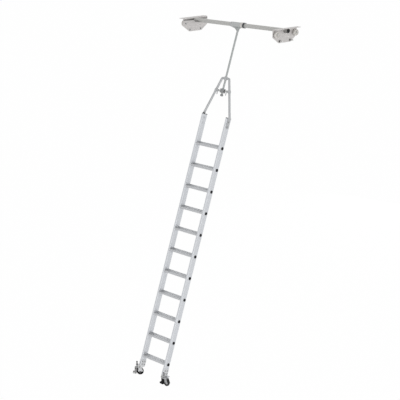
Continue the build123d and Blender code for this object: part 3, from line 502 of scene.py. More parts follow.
finishes = {
    "stile_alu": finish("stile_aluminium", drawn_metal(STILE_TONE, ALONG_LADDER, 0.45, 0.035),
                        Metallic=0.6),
    "step_alu": finish("step_aluminium", worn_tread(STEP_TONE, 0.48), Metallic=0.5),
    # Masks paint shade on the tube beside the plates and on the plates under their folds.
    "steel_tube": finish("galvanised_tube", coated_metal(TUBE_TONE, 0.50, 0.05, mask=shade_by_plates),
                         Metallic=0.5),
    "hanger_steel": finish("hanger_steel", coated_metal(HANGER_TONE, 0.52, 0.05), Metallic=0.5),
    "head_steel": finish("head_steel", coated_metal(HEAD_TONE, 0.52, 0.05), Metallic=0.5),
    "zinc_plate": finish("zinc_plate", coated_metal(PLATE_TONE, 0.52, 0.05, mask=shade_under_fold),
                         Metallic=0.4),
    "zinc_fork": finish("zinc_fork", coated_metal(FORK_TONE, 0.40, 0.05, 160.0), Metallic=0.6),
    "bright_steel": finish("bright_bolts", coated_metal(BOLT_TONE, 0.30, 0.08, 300.0), Metallic=0.85),
    "dark_steel": finish("dark_phosphate", coated_metal(DARK_TONE, 0.55, 0.18, 220.0), Metallic=0.3),
    "grey_cast": finish("grey_casting", coated_metal(CAST_TONE, 0.55, 0.12, 220.0), Metallic=0.4),
}
print("metals", sorted(finishes))

# %% [markdown]
# ## Finishes: plastics and rubber
# The caps, plugs and pedals are black moulded plastic with a fine spark-eroded grain. The rollers, bushes
# and thrust ring are natural nylon, turned and rubbed. The tyres are rubber, a little dusty on the tread.
# These are dielectrics, so their look is grain and roughness, not reflection. A node shows the finish of
# its slot, except for the few in SHOWN: some are coated in another way than the rest, some carry tones of
# their own, and the right fork is a painted shaded copy of the fork finish.

# %% Plastic recipes
MOULD_GRAIN_PER_METRE = 1400.0
DUST_TONE = (0.30, 0.29, 0.28)
PALE_PATCH_TONE = (0.74, 0.74, 0.73)
BLACK_TONE = (0.010, 0.010, 0.011)
NYLON_TONE = (0.68, 0.66, 0.63)
WHEEL_TONE = (0.30, 0.305, 0.31)
TYRE_TONE = (0.022, 0.022, 0.023)
CLEAN_TYRE_TONE = (0.006, 0.006, 0.006)
GREY_PEDAL_TONE = (0.28, 0.28, 0.282)


def pale_pedal_edge_and_toe(tree):
    """Paler patches on the left pedal: painted light on its arm's outer edge, and most of its toe paler."""
    height, reach = above_axle(tree, "left")
    axle, pin, _ = castor_layout("left")
    past_pin = reach - (pin - axle).xy.length + (grain(place_of(tree), 80.0) - 0.5) * 0.006
    outer = ramp(past_pin * 20.0, (0.06, 0.0), (0.22, 0.5))
    toe = ramp(0.5 - height * 20.0, (0.60, 0.0), (0.76, 1.0))
    return outer * (toe * 0.8 + 1.0)


def moulded(colour, rough, dust, worn=None):
    """Moulded plastic or rubber with a fine grain, and dust in patches that look up."""

    def recipe(tree):
        place = place_of(tree)
        patches = grain(place, 30.0, 5.0, 0.65)
        pits = grain(place, MOULD_GRAIN_PER_METRE, 2.0)
        plain = blend(patches, shade(colour, 0.85), shade(colour, 1.15))
        share = ramp(patches, (0.4, 0.0), (0.75, 1.0)) * (upward(tree) * 0.7 + 0.3) * dust
        tone = blend(share, plain, DUST_TONE + (1.0,))
        if worn:
            # A paler tone in a mask: on the left pedal, painted light on its arm's outer edge and a paler toe.
            tone = blend(worn(tree), tone, PALE_PATCH_TONE + (1.0,))
        return tone, rough + (patches - 0.5) * 0.2 + share * 0.2, pits, 0.00010

    return recipe


finishes.update({
    "black_plastic": finish("black_plastic", moulded(BLACK_TONE, 0.50, 0.03), Specular_IOR_Level=0.15),
    "natural_nylon": finish("natural_nylon", moulded(NYLON_TONE, 0.45, 0.20), Coat_Weight=0.1),
    "wheel_grey": finish("wheel_plastic", moulded(WHEEL_TONE, 0.45, 0.15)),
    "tyre_black": finish("tyre_rubber", moulded(TYRE_TONE, 0.68, 0.12), Specular_IOR_Level=0.2),
})
# The left pedal: a grey copy of the black plastic, with painted light on its arm's outer edge.
grey_pedal_recipe = moulded(GREY_PEDAL_TONE, 0.65, 0.5, pale_pedal_edge_and_toe)
clean = moulded(CLEAN_TYRE_TONE, 0.75, 0.0)
blackened = coated_metal(FORK_TONE, 0.40, 0.05, 160.0, left_fork_dark_bands, 0.02)
# A darker copy of the fork finish: painted shade on the right fork, with its dark edge band.
shaded_fork_recipe = coated_metal(SHADED_FORK_TONE, 0.45, 0.08, 160.0, right_fork_dark_edge, 0.03)
# The right stud: a lighter copy of the dark steel.
lighter_stud_recipe = coated_metal(DARK_TONE, 0.55, 0.18, 220.0, lighter_right_stud, 3.2)
SHOWN = {
    "tee_sleeve": finish("sleeve_steel", coated_metal(SLEEVE_TONE, 0.50, 0.05), Metallic=0.5),
    "thrust_ring": finishes["natural_nylon"],
    "set_collars": finishes["head_steel"],
    "brake_pedal_left": finish("grey_pedal_plastic", grey_pedal_recipe, Specular_IOR_Level=0.3),
    "castor_tyre_left": finish("clean_tyre", clean, Specular_IOR_Level=0.05),
    "castor_pins_left": finishes["dark_steel"],
    "castor_pins_right": finishes["dark_steel"],
    "castor_fork_left": finish("blackened_fork", blackened, Metallic=0.6, Specular_IOR_Level=0.1),
    "castor_fork_right": finish("shaded_fork", shaded_fork_recipe, Metallic=0.5),
    "shoe_studs": finish("stud_phosphate", lighter_stud_recipe, Metallic=0.3),
}
for row in record["subparts"]:
    cad = nodes[row["node"]]
    cad.data.materials.clear()
    cad.data.materials.append(SHOWN.get(row["node"], finishes[row["material_slot"]]))
print("finishes on", len(record["subparts"]), "packed nodes")

# %% [markdown]
# ## What repeats: the tools
# Fasteners, ribs and weld scales repeat, so Geometry Nodes make them. Each tree takes a few points that
# carry the direction they face, puts a small shape on every point, and ends in plain geometry. The
# result is copied to an ordinary mesh, one for each moving body, and the modifier goes. The points come
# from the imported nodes: a node that holds several solids is split into its loose solids and measured.

# %% Trees and points
AXIS_ATTRIBUTE = "facing"
SHARP_EDGE = math.radians(32.0)
MERGE = 1e-6
RING_SIDES = 40
SOCKET_KINDS = {float: "NodeSocketFloat", int: "NodeSocketInt"}


def geo(tree, kind, settings=None, **sockets):
    """A node of a geometry tree. An underscore in a socket's name stands for a space."""
    named = {name.replace("_", " "): value for name, value in sockets.items()}
    return Wire.node(tree, "GeometryNode" + kind, settings, named)


def new_tree(name, **sizes):
    """An empty tree with a geometry input, named sizes and a finish; returns it and its inputs."""
    tree = bpy.data.node_groups.new(name, "GeometryNodeTree")
    tree.interface.new_socket("Geometry", in_out="INPUT", socket_type="NodeSocketGeometry")
    for label, value in sizes.items():
        socket = tree.interface.new_socket(label, in_out="INPUT", socket_type=SOCKET_KINDS[type(value)])
        socket.default_value = value
    tree.interface.new_socket("finish", in_out="INPUT", socket_type="NodeSocketMaterial")
    tree.interface.new_socket("Geometry", in_out="OUTPUT", socket_type="NodeSocketGeometry")
    inside = tree.nodes.new("NodeGroupInput")
    return tree, {socket.name: Wire(socket) for socket in inside.outputs if socket.name}


def end_tree(geometry, given):
    """Realise what the tree made, give it the finish and hand it out."""
    tree = geometry.tree
    solid = geo(tree, "RealizeInstances", Geometry=geometry)
    done = geo(tree, "SetMaterial", Geometry=solid, Material=given["finish"])
    outside = tree.nodes.new("NodeGroupOutput")
    tree.links.new(done.socket, outside.inputs[0])


def on_points(shape, given):
    """The shape on every point, with its Z along the point's own direction."""
    tree = shape.tree
    facing = geo(tree, "InputNamedAttribute", {"data_type": "FLOAT_VECTOR"}, Name=AXIS_ATTRIBUTE)
    turn = Wire.node(tree, "FunctionNodeAlignRotationToVector", {"axis": "Z"}, {"Vector": facing})
    return geo(tree, "InstanceOnPoints", Points=given["Geometry"], Instance=shape, Rotation=turn)


def moved(shape, up):
    """A shape shifted along Z."""
    shift = Wire.node(shape.tree, "ShaderNodeCombineXYZ", None, {"Z": up})
    return geo(shape.tree, "Transform", Geometry=shape, Translation=shift)


def joined(*shapes):
    return geo(shapes[0].tree, "JoinGeometry", Geometry=list(shapes))


def disc(tree, sides, radius, height):
    """An upright cylinder that stands on zero."""
    return moved(geo(tree, "MeshCylinder", Vertices=sides, Radius=radius, Depth=height), up=height * 0.5)


def ring(tree, radius, section):
    """A circle of the given radius swept with a closed section curve."""
    path = geo(tree, "CurvePrimitiveCircle", Resolution=RING_SIDES, Radius=radius)
    return geo(tree, "CurveToMesh", Curve=path, Profile_Curve=section)


def flat_ring(given):
    """A ring of rectangular section from bore to rim, which stands on zero."""
    tree, thick = given["bore"].tree, given["thick"]
    width = given["rim"] - given["bore"]
    section = geo(tree, "CurvePrimitiveQuadrilateral", Width=width, Height=thick)
    return moved(ring(tree, given["bore"] + width * 0.5, section), up=thick * 0.5)


def point_mesh(name, places):
    """A mesh of loose points; places are (point, direction)."""
    mesh = bpy.data.meshes.new(name)
    mesh.from_pydata([point for point, _ in places], [], [])
    facing = mesh.attributes.new(AXIS_ATTRIBUTE, "FLOAT_VECTOR", "POINT")
    for item, (_, direction) in zip(facing.data, places):
        item.vector = direction
    return mesh


def grow(name, source, tree, body, slot, **sizes):
    """Run a tree on a source mesh, and keep the result as a plain mesh that rides on a body."""
    piece = new_object(name, source)
    modifier = piece.modifiers.new(name, "NODES")
    modifier.node_group = tree
    inputs = {item.name: item.identifier for item in tree.interface.items_tree if item.in_out == "INPUT"}
    for label, value in sizes.items():
        modifier[inputs[label]] = value
    modifier[inputs["finish"]] = finishes[slot]
    shown = piece.evaluated_get(bpy.context.evaluated_depsgraph_get())
    mesh = bpy.data.meshes.new_from_object(shown)
    piece.modifiers.remove(modifier)
    work = bmesh.new()
    work.from_mesh(mesh)
    bmesh.ops.remove_doubles(work, verts=work.verts, dist=MERGE)
    bmesh.ops.recalc_face_normals(work, faces=work.faces)
    work.to_mesh(mesh)
    work.free()
    mesh.name = name
    mesh.shade_smooth()
    mesh.set_sharp_from_angle(angle=SHARP_EDGE)
    piece.data = mesh
    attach(piece, body)
    print(name, "faces", len(mesh.polygons))


def solids(node):
    """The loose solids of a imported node, each as a list of points."""
    work = bmesh.new()
    work.from_mesh(nodes[node].data)
    bmesh.ops.remove_doubles(work, verts=work.verts, dist=MERGE)
    left, found = set(work.verts), []
    for start in work.verts:
        if start not in left:
            continue
        left.remove(start)
        edge_of_search, island = [start], []
        while edge_of_search:
            vertex = edge_of_search.pop()
            island.append(vertex.co.copy())
            for edge in vertex.link_edges:
                neighbour = edge.other_vert(vertex)
                if neighbour in left:
                    left.remove(neighbour)
                    edge_of_search.append(neighbour)
        found.append(island)
    work.free()
    return found


def middle_of(points):
    """The middle of a solid's box."""
    low = Vector([min(point[axis] for point in points) for axis in range(3)])
    high = Vector([max(point[axis] for point in points) for axis in range(3)])
    return (low + high) / 2


def end_of(points, direction):
    """The middle of a solid, carried along a direction to the solid's end face."""
    direction = Vector(direction).normalized()
    middle = middle_of(points)
    return middle + direction * max((point - middle).dot(direction) for point in points)


RIGHT = Vector((1.0, 0.0, 0.0))
UP = Vector((0.0, 0.0, 1.0))


def outward_of(points, middle=0.0):
    """The direction along X from a middle to a solid."""
    return RIGHT if middle_of(points).x > middle else -RIGHT


print("loose solids in step_plugs", len(solids("step_plugs")))

# %% [markdown]
# ## Washers and head faces
# A hexagon head from a forge has a round, slightly raised face, and sits on a washer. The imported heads
# are plain hexagons, so each gets a flat washer round its foot and a round pad on its end. A washer is a
# rectangle swept round a circle, which keeps its hole open, as a flattened cylinder would not.

# %% Washer and pad tree
PAD_HEIGHT = 0.0006


def washer_tree():
    tree, given = new_tree("washered_head", bore=0.006, rim=0.012, thick=0.0016, head=0.008, pad=0.008)
    pad = moved(disc(tree, 28, given["pad"], PAD_HEIGHT), up=given["head"])
    end_tree(on_points(joined(flat_ring(given), pad), given), given)
    return tree


washered_head = washer_tree()


def heads_along_x(node, head):
    """Seats of the heads and nuts at both ends of bolts that lie along X: (seat, direction)."""
    places = []
    for points in solids(node):
        for direction in (RIGHT, -RIGHT):
            places.append((end_of(points, direction) - direction * head, direction))
    return places


LUG_HEAD = 0.0065
SHOE_HEAD = 0.0055
AXLE_HEAD = 0.008
lug_heads, lug_nuts = [], []
for seat, direction in heads_along_x("lug_bolts", LUG_HEAD):
    outside = (seat.x - hanger_pivot.x) * direction.x > 0
    (lug_heads if outside else lug_nuts).append((seat, direction))
grow("lug_washers", point_mesh("lug_heads", lug_heads), washered_head, "ladder", "grey_cast",
     bore=0.005, rim=0.0115, head=LUG_HEAD, pad=0.0078)
grow("lug_nut_washers", point_mesh("lug_nuts", lug_nuts), washered_head, "ladder", "stile_alu",
     bore=0.005, rim=0.0115, head=LUG_HEAD, pad=0.0084)
shoe_heads = heads_along_x("shoe_bolts", SHOE_HEAD)
grow("shoe_washers", point_mesh("shoe_heads", shoe_heads), washered_head, "ladder", "grey_cast",
     bore=0.004, rim=0.0088, thick=0.0014, head=SHOE_HEAD, pad=0.0058)

axle_heads = []
for points in solids("roller_axles"):
    outward = outward_of(points)
    axle_heads.append((end_of(points, outward) - outward * AXLE_HEAD, outward))
grow("axle_washers", point_mesh("axle_heads", axle_heads), washered_head, "traverse", "bright_steel",
     bore=0.006, rim=0.0135, thick=0.002, head=AXLE_HEAD, pad=0.0088)

nut_seats = []
for points in solids("carriage_nuts"):
    inward = -outward_of(points)
    nut_seats.append((end_of(points, inward) - inward * AXLE_HEAD, inward))
grow("nut_washers", point_mesh("nut_seats", nut_seats), washered_head, "traverse", "bright_steel",
     bore=0.006, rim=0.0135, thick=0.002, head=AXLE_HEAD - PAD_HEIGHT, pad=0.0062)

# %% [markdown]
# ## Rubber buffers
# Black rubber rings sit on the retaining pins, against their flanges, and one broad ring sits on the
# right collar. Each is the washer's ring without a head, so that its bore stays open round what carries it.

# %% Buffer tree
PIN_R = 0.008
PIN_FLANGE_FACE = 0.008
COLLAR_R = 0.030
BUFFER_START = 0.0940


def buffer_tree():
    tree, given = new_tree("buffer_ring", bore=0.008, rim=0.012, thick=0.004)
    end_tree(on_points(flat_ring(given), given), given)
    return tree


buffer_ring = buffer_tree()
flange_x = plate_low.x + PIN_FLANGE_FACE
pin_seats = []
for points in solids("retaining_pins"):
    middle, outward = middle_of(points), outward_of(points)
    pin_seats.append((Vector((outward.x * flange_x, middle.y, middle.z)), outward))
grow("pin_buffers", point_mesh("pin_seats", pin_seats), buffer_ring, "traverse", "black_plastic",
     bore=PIN_R + 0.0002, rim=0.0125, thick=0.004)
tube_low, tube_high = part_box("traverse_tube")
TUBE_R = (tube_high.z - tube_low.z) / 2
TUBE_Z = (tube_high.z + tube_low.z) / 2
collar_seat = [(Vector((BUFFER_START, 0.0, TUBE_Z)), RIGHT)]
grow("collar_buffer", point_mesh("collar_seat", collar_seat), buffer_ring, "traverse", "black_plastic",
     bore=COLLAR_R + 0.0001, rim=0.0335, thick=0.018)

# %% [markdown]
# ## Threads
# The studs that stand out of their nuts, and the two eye bolts beside the swivel block, are threaded. A
# thread is a spiral swept with a small triangle. A picture of lines in a bump would look the same from
# far away, but the real ridge also breaks the outline.

# %% Thread tree
def thread_tree():
    tree, given = new_tree("thread", radius=0.006, length=0.01, pitch=0.0016)
    radius, length, pitch = given["radius"], given["length"], given["pitch"]
    spiral = geo(tree, "CurveSpiral", Resolution=18, Rotations=length / pitch,
                 Start_Radius=radius, End_Radius=radius, Height=length)
    tooth = geo(tree, "CurvePrimitiveCircle", Resolution=3, Radius=pitch * 0.42)
    ridge = geo(tree, "CurveToMesh", Curve=spiral, Profile_Curve=tooth, Fill_Caps=True)
    end_tree(on_points(ridge, given), given)
    return tree


thread = thread_tree()
STUD_PAST_NUT = 0.0028
stud_ends = []
for node in ("roller_axles", "retaining_pins"):
    for points in solids(node):
        inward = -outward_of(points)
        stud_ends.append((end_of(points, inward) - inward * STUD_PAST_NUT, inward))
grow("stud_threads", point_mesh("stud_ends", stud_ends), thread, "traverse", "bright_steel",
     radius=0.0058, length=STUD_PAST_NUT - 0.0004, pitch=0.0013)

LOCK_NUT_WIDTH = 0.008
EYE_WIDTH = 0.028
SHORTEST_THREAD = 0.004
eye_starts = []
for points in solids("eye_bolts"):
    outward = outward_of(points, hanger_pivot.x)
    start = end_of(points, -outward)
    eye_starts.append((start + outward * LOCK_NUT_WIDTH, outward))
    eye_neck = (end_of(points, outward) - start).length - LOCK_NUT_WIDTH - EYE_WIDTH
grow("eye_threads", point_mesh("eye_starts", eye_starts), thread, "ladder", "bright_steel",
     radius=0.0057, length=max(SHORTEST_THREAD, eye_neck), pitch=0.0016)
print("eye bolt's free thread", round(eye_neck, 4))

# %% [markdown]
# ## Weld beads
# The hanger, the head and the carriages are welded. A bead is a row of overlapping scales along the line
# where two pieces meet. Each line is worked out from the two cylinders or plates that meet there, and a
# tree lays one flattened ball for every scale. A smooth swept tube would be simpler, but it looks like a
# bent wire instead of a weld.

# %% Weld tree
def weld_tree():
    tree, given = new_tree("weld_scales", half_width=0.0035, half_height=0.0022, pitch=0.0026)
    path = geo(tree, "MeshToCurve", Mesh=given["Geometry"])
    steps = geo(tree, "CurveToPoints", {"mode": "LENGTH"}, Curve=path, Length=given["pitch"])
    ball = geo(tree, "MeshUVSphere", Segments=8, Rings=5, Radius=1.0)
    size = Wire.node(
        tree, "ShaderNodeCombineXYZ", None,
        {"X": given["half_width"], "Y": given["half_height"], "Z": given["pitch"] * 1.1},
    )
    turn = steps.other("Rotation")
    scales = geo(tree, "InstanceOnPoints", Points=steps, Instance=ball, Rotation=turn, Scale=size)
    end_tree(scales, given)
    return tree


weld_scales = weld_tree()
LADDER_FRAME = Matrix.Translation(hanger_pivot) @ Matrix.Rotation(-LEAN, 4, "X")
LINE_STEPS = 24


def line_mesh(name, lines):
    """A mesh of open or closed lines, each a list of points."""
    mesh = bpy.data.meshes.new(name)
    points, edges = [], []
    for line in lines:
        first = len(points)
        points.extend(line)
        edges.extend((first + k, first + k + 1) for k in range(len(line) - 1))
    mesh.from_pydata(points, edges, [])
    return mesh


def sampled(formula, start, end):
    """Points of a formula between two values of its parameter."""
    return [formula(start + (end - start) * k / LINE_STEPS) for k in range(LINE_STEPS + 1)]


def saddle(radius, onto, turn):
    """Where a round bar meets a larger cylinder that crosses it, at an angle round the bar."""
    along = radius * math.cos(turn)
    aside = radius * math.sin(turn)
    return along, aside, math.sqrt(onto ** 2 - aside ** 2)


sleeve_low, sleeve_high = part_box("tee_sleeve")
SLEEVE_R = (sleeve_high.y - sleeve_low.y) / 2
rod_low, rod_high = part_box("hanger_rod")
ROD_R = (rod_high.x - rod_low.x) / 2
GUSSET_HALF = 0.004
GUSSET_FOOT = 0.076
BESIDE_GUSSET = math.radians(28.0)


def hanger_point(x, y, z):
    """A point given from the hanger's pivot, with Z along the rod."""
    return LADDER_FRAME @ Vector((x, y, z))


def rod_seam(turn):
    """The line where the rod meets the tee sleeve."""
    across, aside, reach = saddle(ROD_R, SLEEVE_R, turn)
    return hanger_point(across, aside, -reach)


hanger_lines = [
    sampled(rod_seam, BESIDE_GUSSET, math.pi - BESIDE_GUSSET),
    sampled(rod_seam, math.pi + BESIDE_GUSSET, 2 * math.pi - BESIDE_GUSSET),
]
seam_z = -math.sqrt(SLEEVE_R ** 2 - GUSSET_HALF ** 2)
seam_x = math.sqrt(ROD_R ** 2 - GUSSET_HALF ** 2)
for side in (-1, 1):
    reach = hanger_pivot.x - sleeve_low.x if side < 0 else sleeve_high.x - hanger_pivot.x
    for face in (-GUSSET_HALF, GUSSET_HALF):
        corner = hanger_point(side * seam_x, face, seam_z)
        hanger_lines.append([corner, hanger_point(side * reach, face, seam_z)])
        hanger_lines.append([corner, hanger_point(side * seam_x, face, -GUSSET_FOOT)])
grow("hanger_welds", line_mesh("hanger_lines", hanger_lines), weld_scales, "hanger", "hanger_steel",
     half_width=0.0030, half_height=0.0024, pitch=0.0024)

HEAD_TUBE_R = 0.014
guide_low, guide_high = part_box("guide_sleeve")
GUIDE_R = (guide_high.x - guide_low.x) / 2
HEAD_DOWN = (hanger_pivot - (guide_low + guide_high) / 2).length


def stub_seam(side):
    """The line where one head tube meets the guide sleeve."""

    def seam(turn):
        up, aside, reach = saddle(HEAD_TUBE_R, GUIDE_R, turn)
        return hanger_point(side * reach, aside, up - HEAD_DOWN)

    return seam


head_lines = [sampled(stub_seam(side), 0.0, 2 * math.pi) for side in (-1, 1)]
grow("head_welds", line_mesh("head_lines", head_lines), weld_scales, "ladder", "head_steel",
     half_width=0.0030, half_height=0.0022, pitch=0.0023)


def tube_seam(x):
    """The line where the traverse tube meets a plate."""
    return lambda turn: Vector((x, TUBE_R * math.cos(turn), TUBE_Z + TUBE_R * math.sin(turn)))


tube_lines = [sampled(tube_seam(side * plate_low.x), 0.0, 2 * math.pi) for side in (-1, 1)]
grow("carriage_welds", line_mesh("tube_lines", tube_lines), weld_scales, "traverse", "zinc_plate",
     half_width=0.0040, half_height=0.0032, pitch=0.0032)

# %% [markdown]
# ## Moulded ribs
# The nylon rollers and the castors' wheel cores are mouldings: a thin web between hub and rim, stiffened
# by radial ribs. A tree makes one wheel of ribs, and puts it on each side of every wheel. The knob under
# the rod has grip flutes, which are the same tree with short, tall ribs.

# %% Rib tree
ROLLER_HALF = 0.013
TYRE_THICK = 0.022
tyre_low, tyre_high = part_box("castor_tyre_right")
TYRE_R = (tyre_high.z - tyre_low.z) / 2


def rib_tree():
    tree, given = new_tree("radial_ribs", count=8, start=0.015, end=0.03, wide=0.003, tall=0.006, lift=0.0)
    middle = (given["start"] + given["end"]) * 0.5
    spokes = geo(tree, "MeshCircle", Vertices=given["count"], Radius=middle)
    outward = geo(tree, "InputPosition")
    turn = Wire.node(tree, "FunctionNodeAlignRotationToVector", {"axis": "X"}, {"Vector": outward})
    size = Wire.node(
        tree, "ShaderNodeCombineXYZ", None,
        {"X": given["end"] - given["start"], "Y": given["wide"], "Z": given["tall"]},
    )
    rib = geo(tree, "MeshCube", Size=size)
    wheel = geo(tree, "InstanceOnPoints", Points=spokes, Instance=rib, Rotation=turn)
    end_tree(on_points(moved(wheel, up=given["lift"]), given), given)
    return tree


radial_ribs = rib_tree()


def both_faces(point, axis):
    """A wheel's middle, once for each side."""
    axis = Vector(axis)
    return [(Vector(point), axis), (Vector(point), -axis)]


spins = [joint for joint in frame["joints"] if joint["name"].endswith("_spin")]
for joint in spins:
    wheel, hub = joint["child"], both_faces(joint["pos_m"], joint["axis"])
    if wheel.startswith("roller_"):
        grow(wheel + "_ribs", point_mesh("roller_hub", hub), radial_ribs, wheel, "natural_nylon",
             count=8, start=0.0145, end=0.0300, wide=0.003, tall=0.005, lift=ROLLER_HALF - 0.0055)
    if wheel.startswith("wheel_"):
        grow(wheel + "_ribs", point_mesh("wheel_hub", hub), radial_ribs, wheel, "wheel_grey",
             count=6, start=0.0095, end=TYRE_R - TYRE_THICK - 0.0023, wide=0.0026, tall=0.0075, lift=0.0078)

FLUTES = 24
knob = solids("rod_knob")[0]
knob_middle = [((end_of(knob, -slide_axis) + end_of(knob, slide_axis)) / 2, slide_axis)]
grow("knob_flutes", point_mesh("knob_middle", knob_middle), radial_ribs, "hanger", "grey_cast",
     count=FLUTES, start=0.0170, end=0.0186, wide=0.0022, tall=0.0085)

# %% [markdown]
# ## Moulded rings
# The black end caps carry a raised ring from their mould, the plugs have a rounded lip on the stile, the
# rollers' bearings have a seal, and the castors' tyres have a parting line. Each is a circle swept with a
# small round section.

# %% Ring tree
def ring_tree():
    tree, given = new_tree("moulded_ring", radius=0.01, section=0.0006, lift=0.0)
    circle = geo(tree, "CurvePrimitiveCircle", Resolution=8, Radius=given["section"])
    end_tree(on_points(moved(ring(tree, given["radius"], circle), up=given["lift"]), given), given)
    return tree


moulded_ring = ring_tree()
cap_faces = []
for points in solids("tube_end_caps"):
    outward = outward_of(points)
    cap_faces.append((end_of(points, outward), outward))
grow("cap_rings", point_mesh("cap_faces", cap_faces), moulded_ring, "traverse", "black_plastic",
     radius=0.0165, section=0.0009)

plug_faces = []
for points in solids("step_plugs"):
    outward = outward_of(points, hanger_pivot.x)
    plug_faces.append((end_of(points, outward), outward))
grow("plug_rings", point_mesh("plug_faces", plug_faces), moulded_ring, "ladder", "black_plastic",
     radius=0.0180, section=0.0014, lift=-0.0009)

for joint in spins:
    wheel, hub = joint["child"], both_faces(joint["pos_m"], joint["axis"])
    if wheel.startswith("roller_"):
        grow(wheel + "_seals", point_mesh("roller_faces", hub), moulded_ring, wheel, "black_plastic",
             radius=0.0118, section=0.0010, lift=ROLLER_HALF - 0.0006)
    if wheel.startswith("wheel_"):
        grow(wheel + "_parting", point_mesh("tyre_middle", hub[:1]), moulded_ring, wheel, "tyre_black",
             radius=TYRE_R - 0.0002, section=0.0004)

# %% [markdown]
# ## Set screws, grip bars and toggles
# Both collars are held by socket set screws, and the brake pedals have raised bars under the shoe. A set
# screw is a short dark ring round a six-sided floor. The bars are small rounded sticks across the toe. The
# same stick, thicker, is the toggle that hangs in the head of each clamp's bolt, so that it can be
# tightened by hand.

# %% Set screw and bar trees
def set_screw_tree():
    tree, given = new_tree("set_screw", radius=0.004, socket=0.0022, proud=0.0006)
    width = given["radius"] - given["socket"]
    rim = geo(tree, "CurvePrimitiveQuadrilateral", Width=width, Height=given["proud"] * 2.0)
    collar = ring(tree, (given["radius"] + given["socket"]) * 0.5, rim)
    floor = disc(tree, 6, given["socket"] * 1.1, 0.0002)
    end_tree(on_points(joined(collar, floor), given), given)
    return tree


def bar_tree():
    tree, given = new_tree("grip_bars", radius=0.0014, length=0.04)
    bar = geo(tree, "MeshCylinder", Vertices=10, Radius=given["radius"], Depth=given["length"])
    ball = geo(tree, "MeshUVSphere", Segments=10, Rings=6, Radius=given["radius"])
    half = given["length"] * 0.5
    end_tree(on_points(joined(bar, moved(ball, up=half), moved(ball, up=0.0 - half)), given), given)
    return tree


set_screw = set_screw_tree()
grip_bars = bar_tree()
SCREW_TURNS = (math.radians(-62.0), math.radians(58.0))
screw_places = []
for points in solids("set_collars"):
    for turn in SCREW_TURNS:
        outward = Vector((0.0, -math.cos(turn), math.sin(turn)))
        axis_point = Vector((middle_of(points).x, 0.0, TUBE_Z))
        screw_places.append((axis_point + outward * COLLAR_R, outward))
grow("set_screws", point_mesh("screw_places", screw_places), set_screw, "traverse", "dark_steel")

BAR_COUNT = 3
BAR_STEP = 0.0055
BAR_START = 0.006
TOE_FACE = 0.0078
TIP_DIGITS = 6
for side in ("left", "right"):
    across = Vector(joints[f"pedal_{side}_lift"]["axis"])
    _, pin, ahead = castor_layout(side)
    pedal = solids(f"brake_pedal_{side}")[0]
    tip = max(pedal, key=lambda point: (round((point - pin).dot(ahead), TIP_DIGITS), point.z))
    toe_reach = (tip - pin).dot(ahead)
    bars = []
    for k in range(BAR_COUNT):
        place = pin + ahead * (toe_reach - BAR_START - BAR_STEP * k)
        bars.append((Vector((place.x, place.y, tip.z + TOE_FACE)), across))
    grow(f"pedal_{side}_bars", point_mesh("toe_bars", bars), grip_bars, f"pedal_{side}", "black_plastic",
         radius=0.0014, length=0.042)

CLAMP_HEAD = 0.0055
TOGGLE_LENGTH = 0.050
TOGGLE_DROP = 0.022
ladder_front = LADDER_FRAME.to_3x3() @ Vector((0.0, -1.0, 0.0))
toggles = []
for points in solids("clamp_bolts"):
    head = end_of(points, ladder_front) - ladder_front * CLAMP_HEAD / 2
    toggles.append((head - slide_axis * TOGGLE_DROP, slide_axis))
grow("clamp_toggles", point_mesh("toggle_bars", toggles), grip_bars, "ladder", "head_steel",
     radius=0.0055, length=TOGGLE_LENGTH)

# %% [markdown]
# ## Wedges, bump stops and a pedal cover
# The stiles end square, but the castor shoes are level, so a pale plastic wedge takes the load between
# them. A black rubber stop sits under each fork's tongue, and the right pedal has a rubber cover round its
# toe. The left pedal has lost its cover. All of them are prisms: a profile of points ahead of and above
# an origin, drawn out to both sides, with broken edges so that they read as mouldings.

# %% Prisms
PRISM_EDGE = 0.0010
WEDGE_ROOM = 0.0003
WEDGE_RECESS = 0.0015
WEDGE_THIN_END = 0.012
STOP_PROFILE = [(0.0300, 0.0515), (0.0398, 0.0515), (0.0398, 0.0210), (0.0300, 0.0335)]
STOP_HALF = 0.011
COVER_PROFILE = [(0.0380, -0.0525), (0.0380, -0.0710), (-0.0120, -0.0755),
                 (-0.0120, -0.0702), (0.0342, -0.0702), (0.0342, -0.0525)]
COVER_HALF = 0.0265


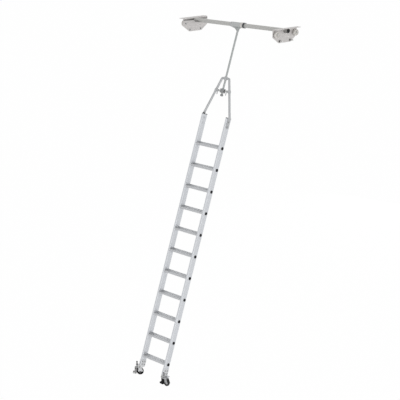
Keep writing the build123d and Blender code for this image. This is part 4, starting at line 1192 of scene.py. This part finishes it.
def add_prism(work, profile, origin, ahead, across, half):
    """Add a prism to a bmesh: (ahead, up) points from an origin, drawn out to both sides."""
    sides = []
    for side in (-half, half):
        start = origin + across * side
        sides.append([work.verts.new(start + ahead * reach + UP * rise) for reach, rise in profile])
    for face in sides:
        work.faces.new(face)
    for k in range(len(profile)):
        work.faces.new((sides[0][k - 1], sides[0][k], sides[1][k], sides[1][k - 1]))


def keep_prisms(name, work, body, slot):
    """Break the prisms' edges and keep them as one piece that rides on a body."""
    bmesh.ops.recalc_face_normals(work, faces=work.faces)
    bmesh.ops.bevel(work, geom=work.edges[:], offset=PRISM_EDGE, segments=2, profile=0.5, affect="EDGES")
    mesh = bpy.data.meshes.new(name)
    work.to_mesh(mesh)
    work.free()
    mesh.materials.append(finishes[slot])
    piece = new_object(name, mesh)
    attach(piece, body)
    print(name, "faces", len(mesh.polygons))


def add_wedge(work, stile):
    """Add the wedge between one stile's end and its shoe."""
    points = solids(stile)[0]
    foot = end_of(points, -slide_axis)
    half = max((point - foot).dot(ladder_front) for point in points)
    level = (foot - ladder_front * half).z
    front = foot + ladder_front * (half - WEDGE_RECESS) - UP * WEDGE_ROOM
    rear = foot - ladder_front * (half - WEDGE_THIN_END) - UP * WEDGE_ROOM
    profile = [(front.y, front.z), (rear.y, rear.z), (rear.y, level), (front.y, level)]
    low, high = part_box(stile)
    middle = Vector(((low.x + high.x) / 2, 0.0, 0.0))
    add_prism(work, profile, middle, Vector((0.0, 1.0, 0.0)), RIGHT, (high.x - low.x) / 2 - WEDGE_ROOM)


work = bmesh.new()
for stile in ("stile_left", "stile_right"):
    add_wedge(work, stile)
keep_prisms("foot_wedges", work, "ladder", "natural_nylon")

for side in ("left", "right"):
    axle, pin, ahead = castor_layout(side)
    across = Vector(joints[f"pedal_{side}_lift"]["axis"])
    work = bmesh.new()
    add_prism(work, STOP_PROFILE, axle, ahead, across, STOP_HALF)
    keep_prisms(f"bump_stop_{side}", work, f"castor_{side}", "black_plastic")
work = bmesh.new()
add_prism(work, COVER_PROFILE, pin, ahead, across, COVER_HALF)
keep_prisms("pedal_right_cover", work, "pedal_right", "black_plastic")

# %% [markdown]
# ## Size and finish
# The imported box was kept at the start, and its size is printed now.

# %% Print the imported box
print("cad box", [round(value, 3) for value in cad_box[1] - cad_box[0]])
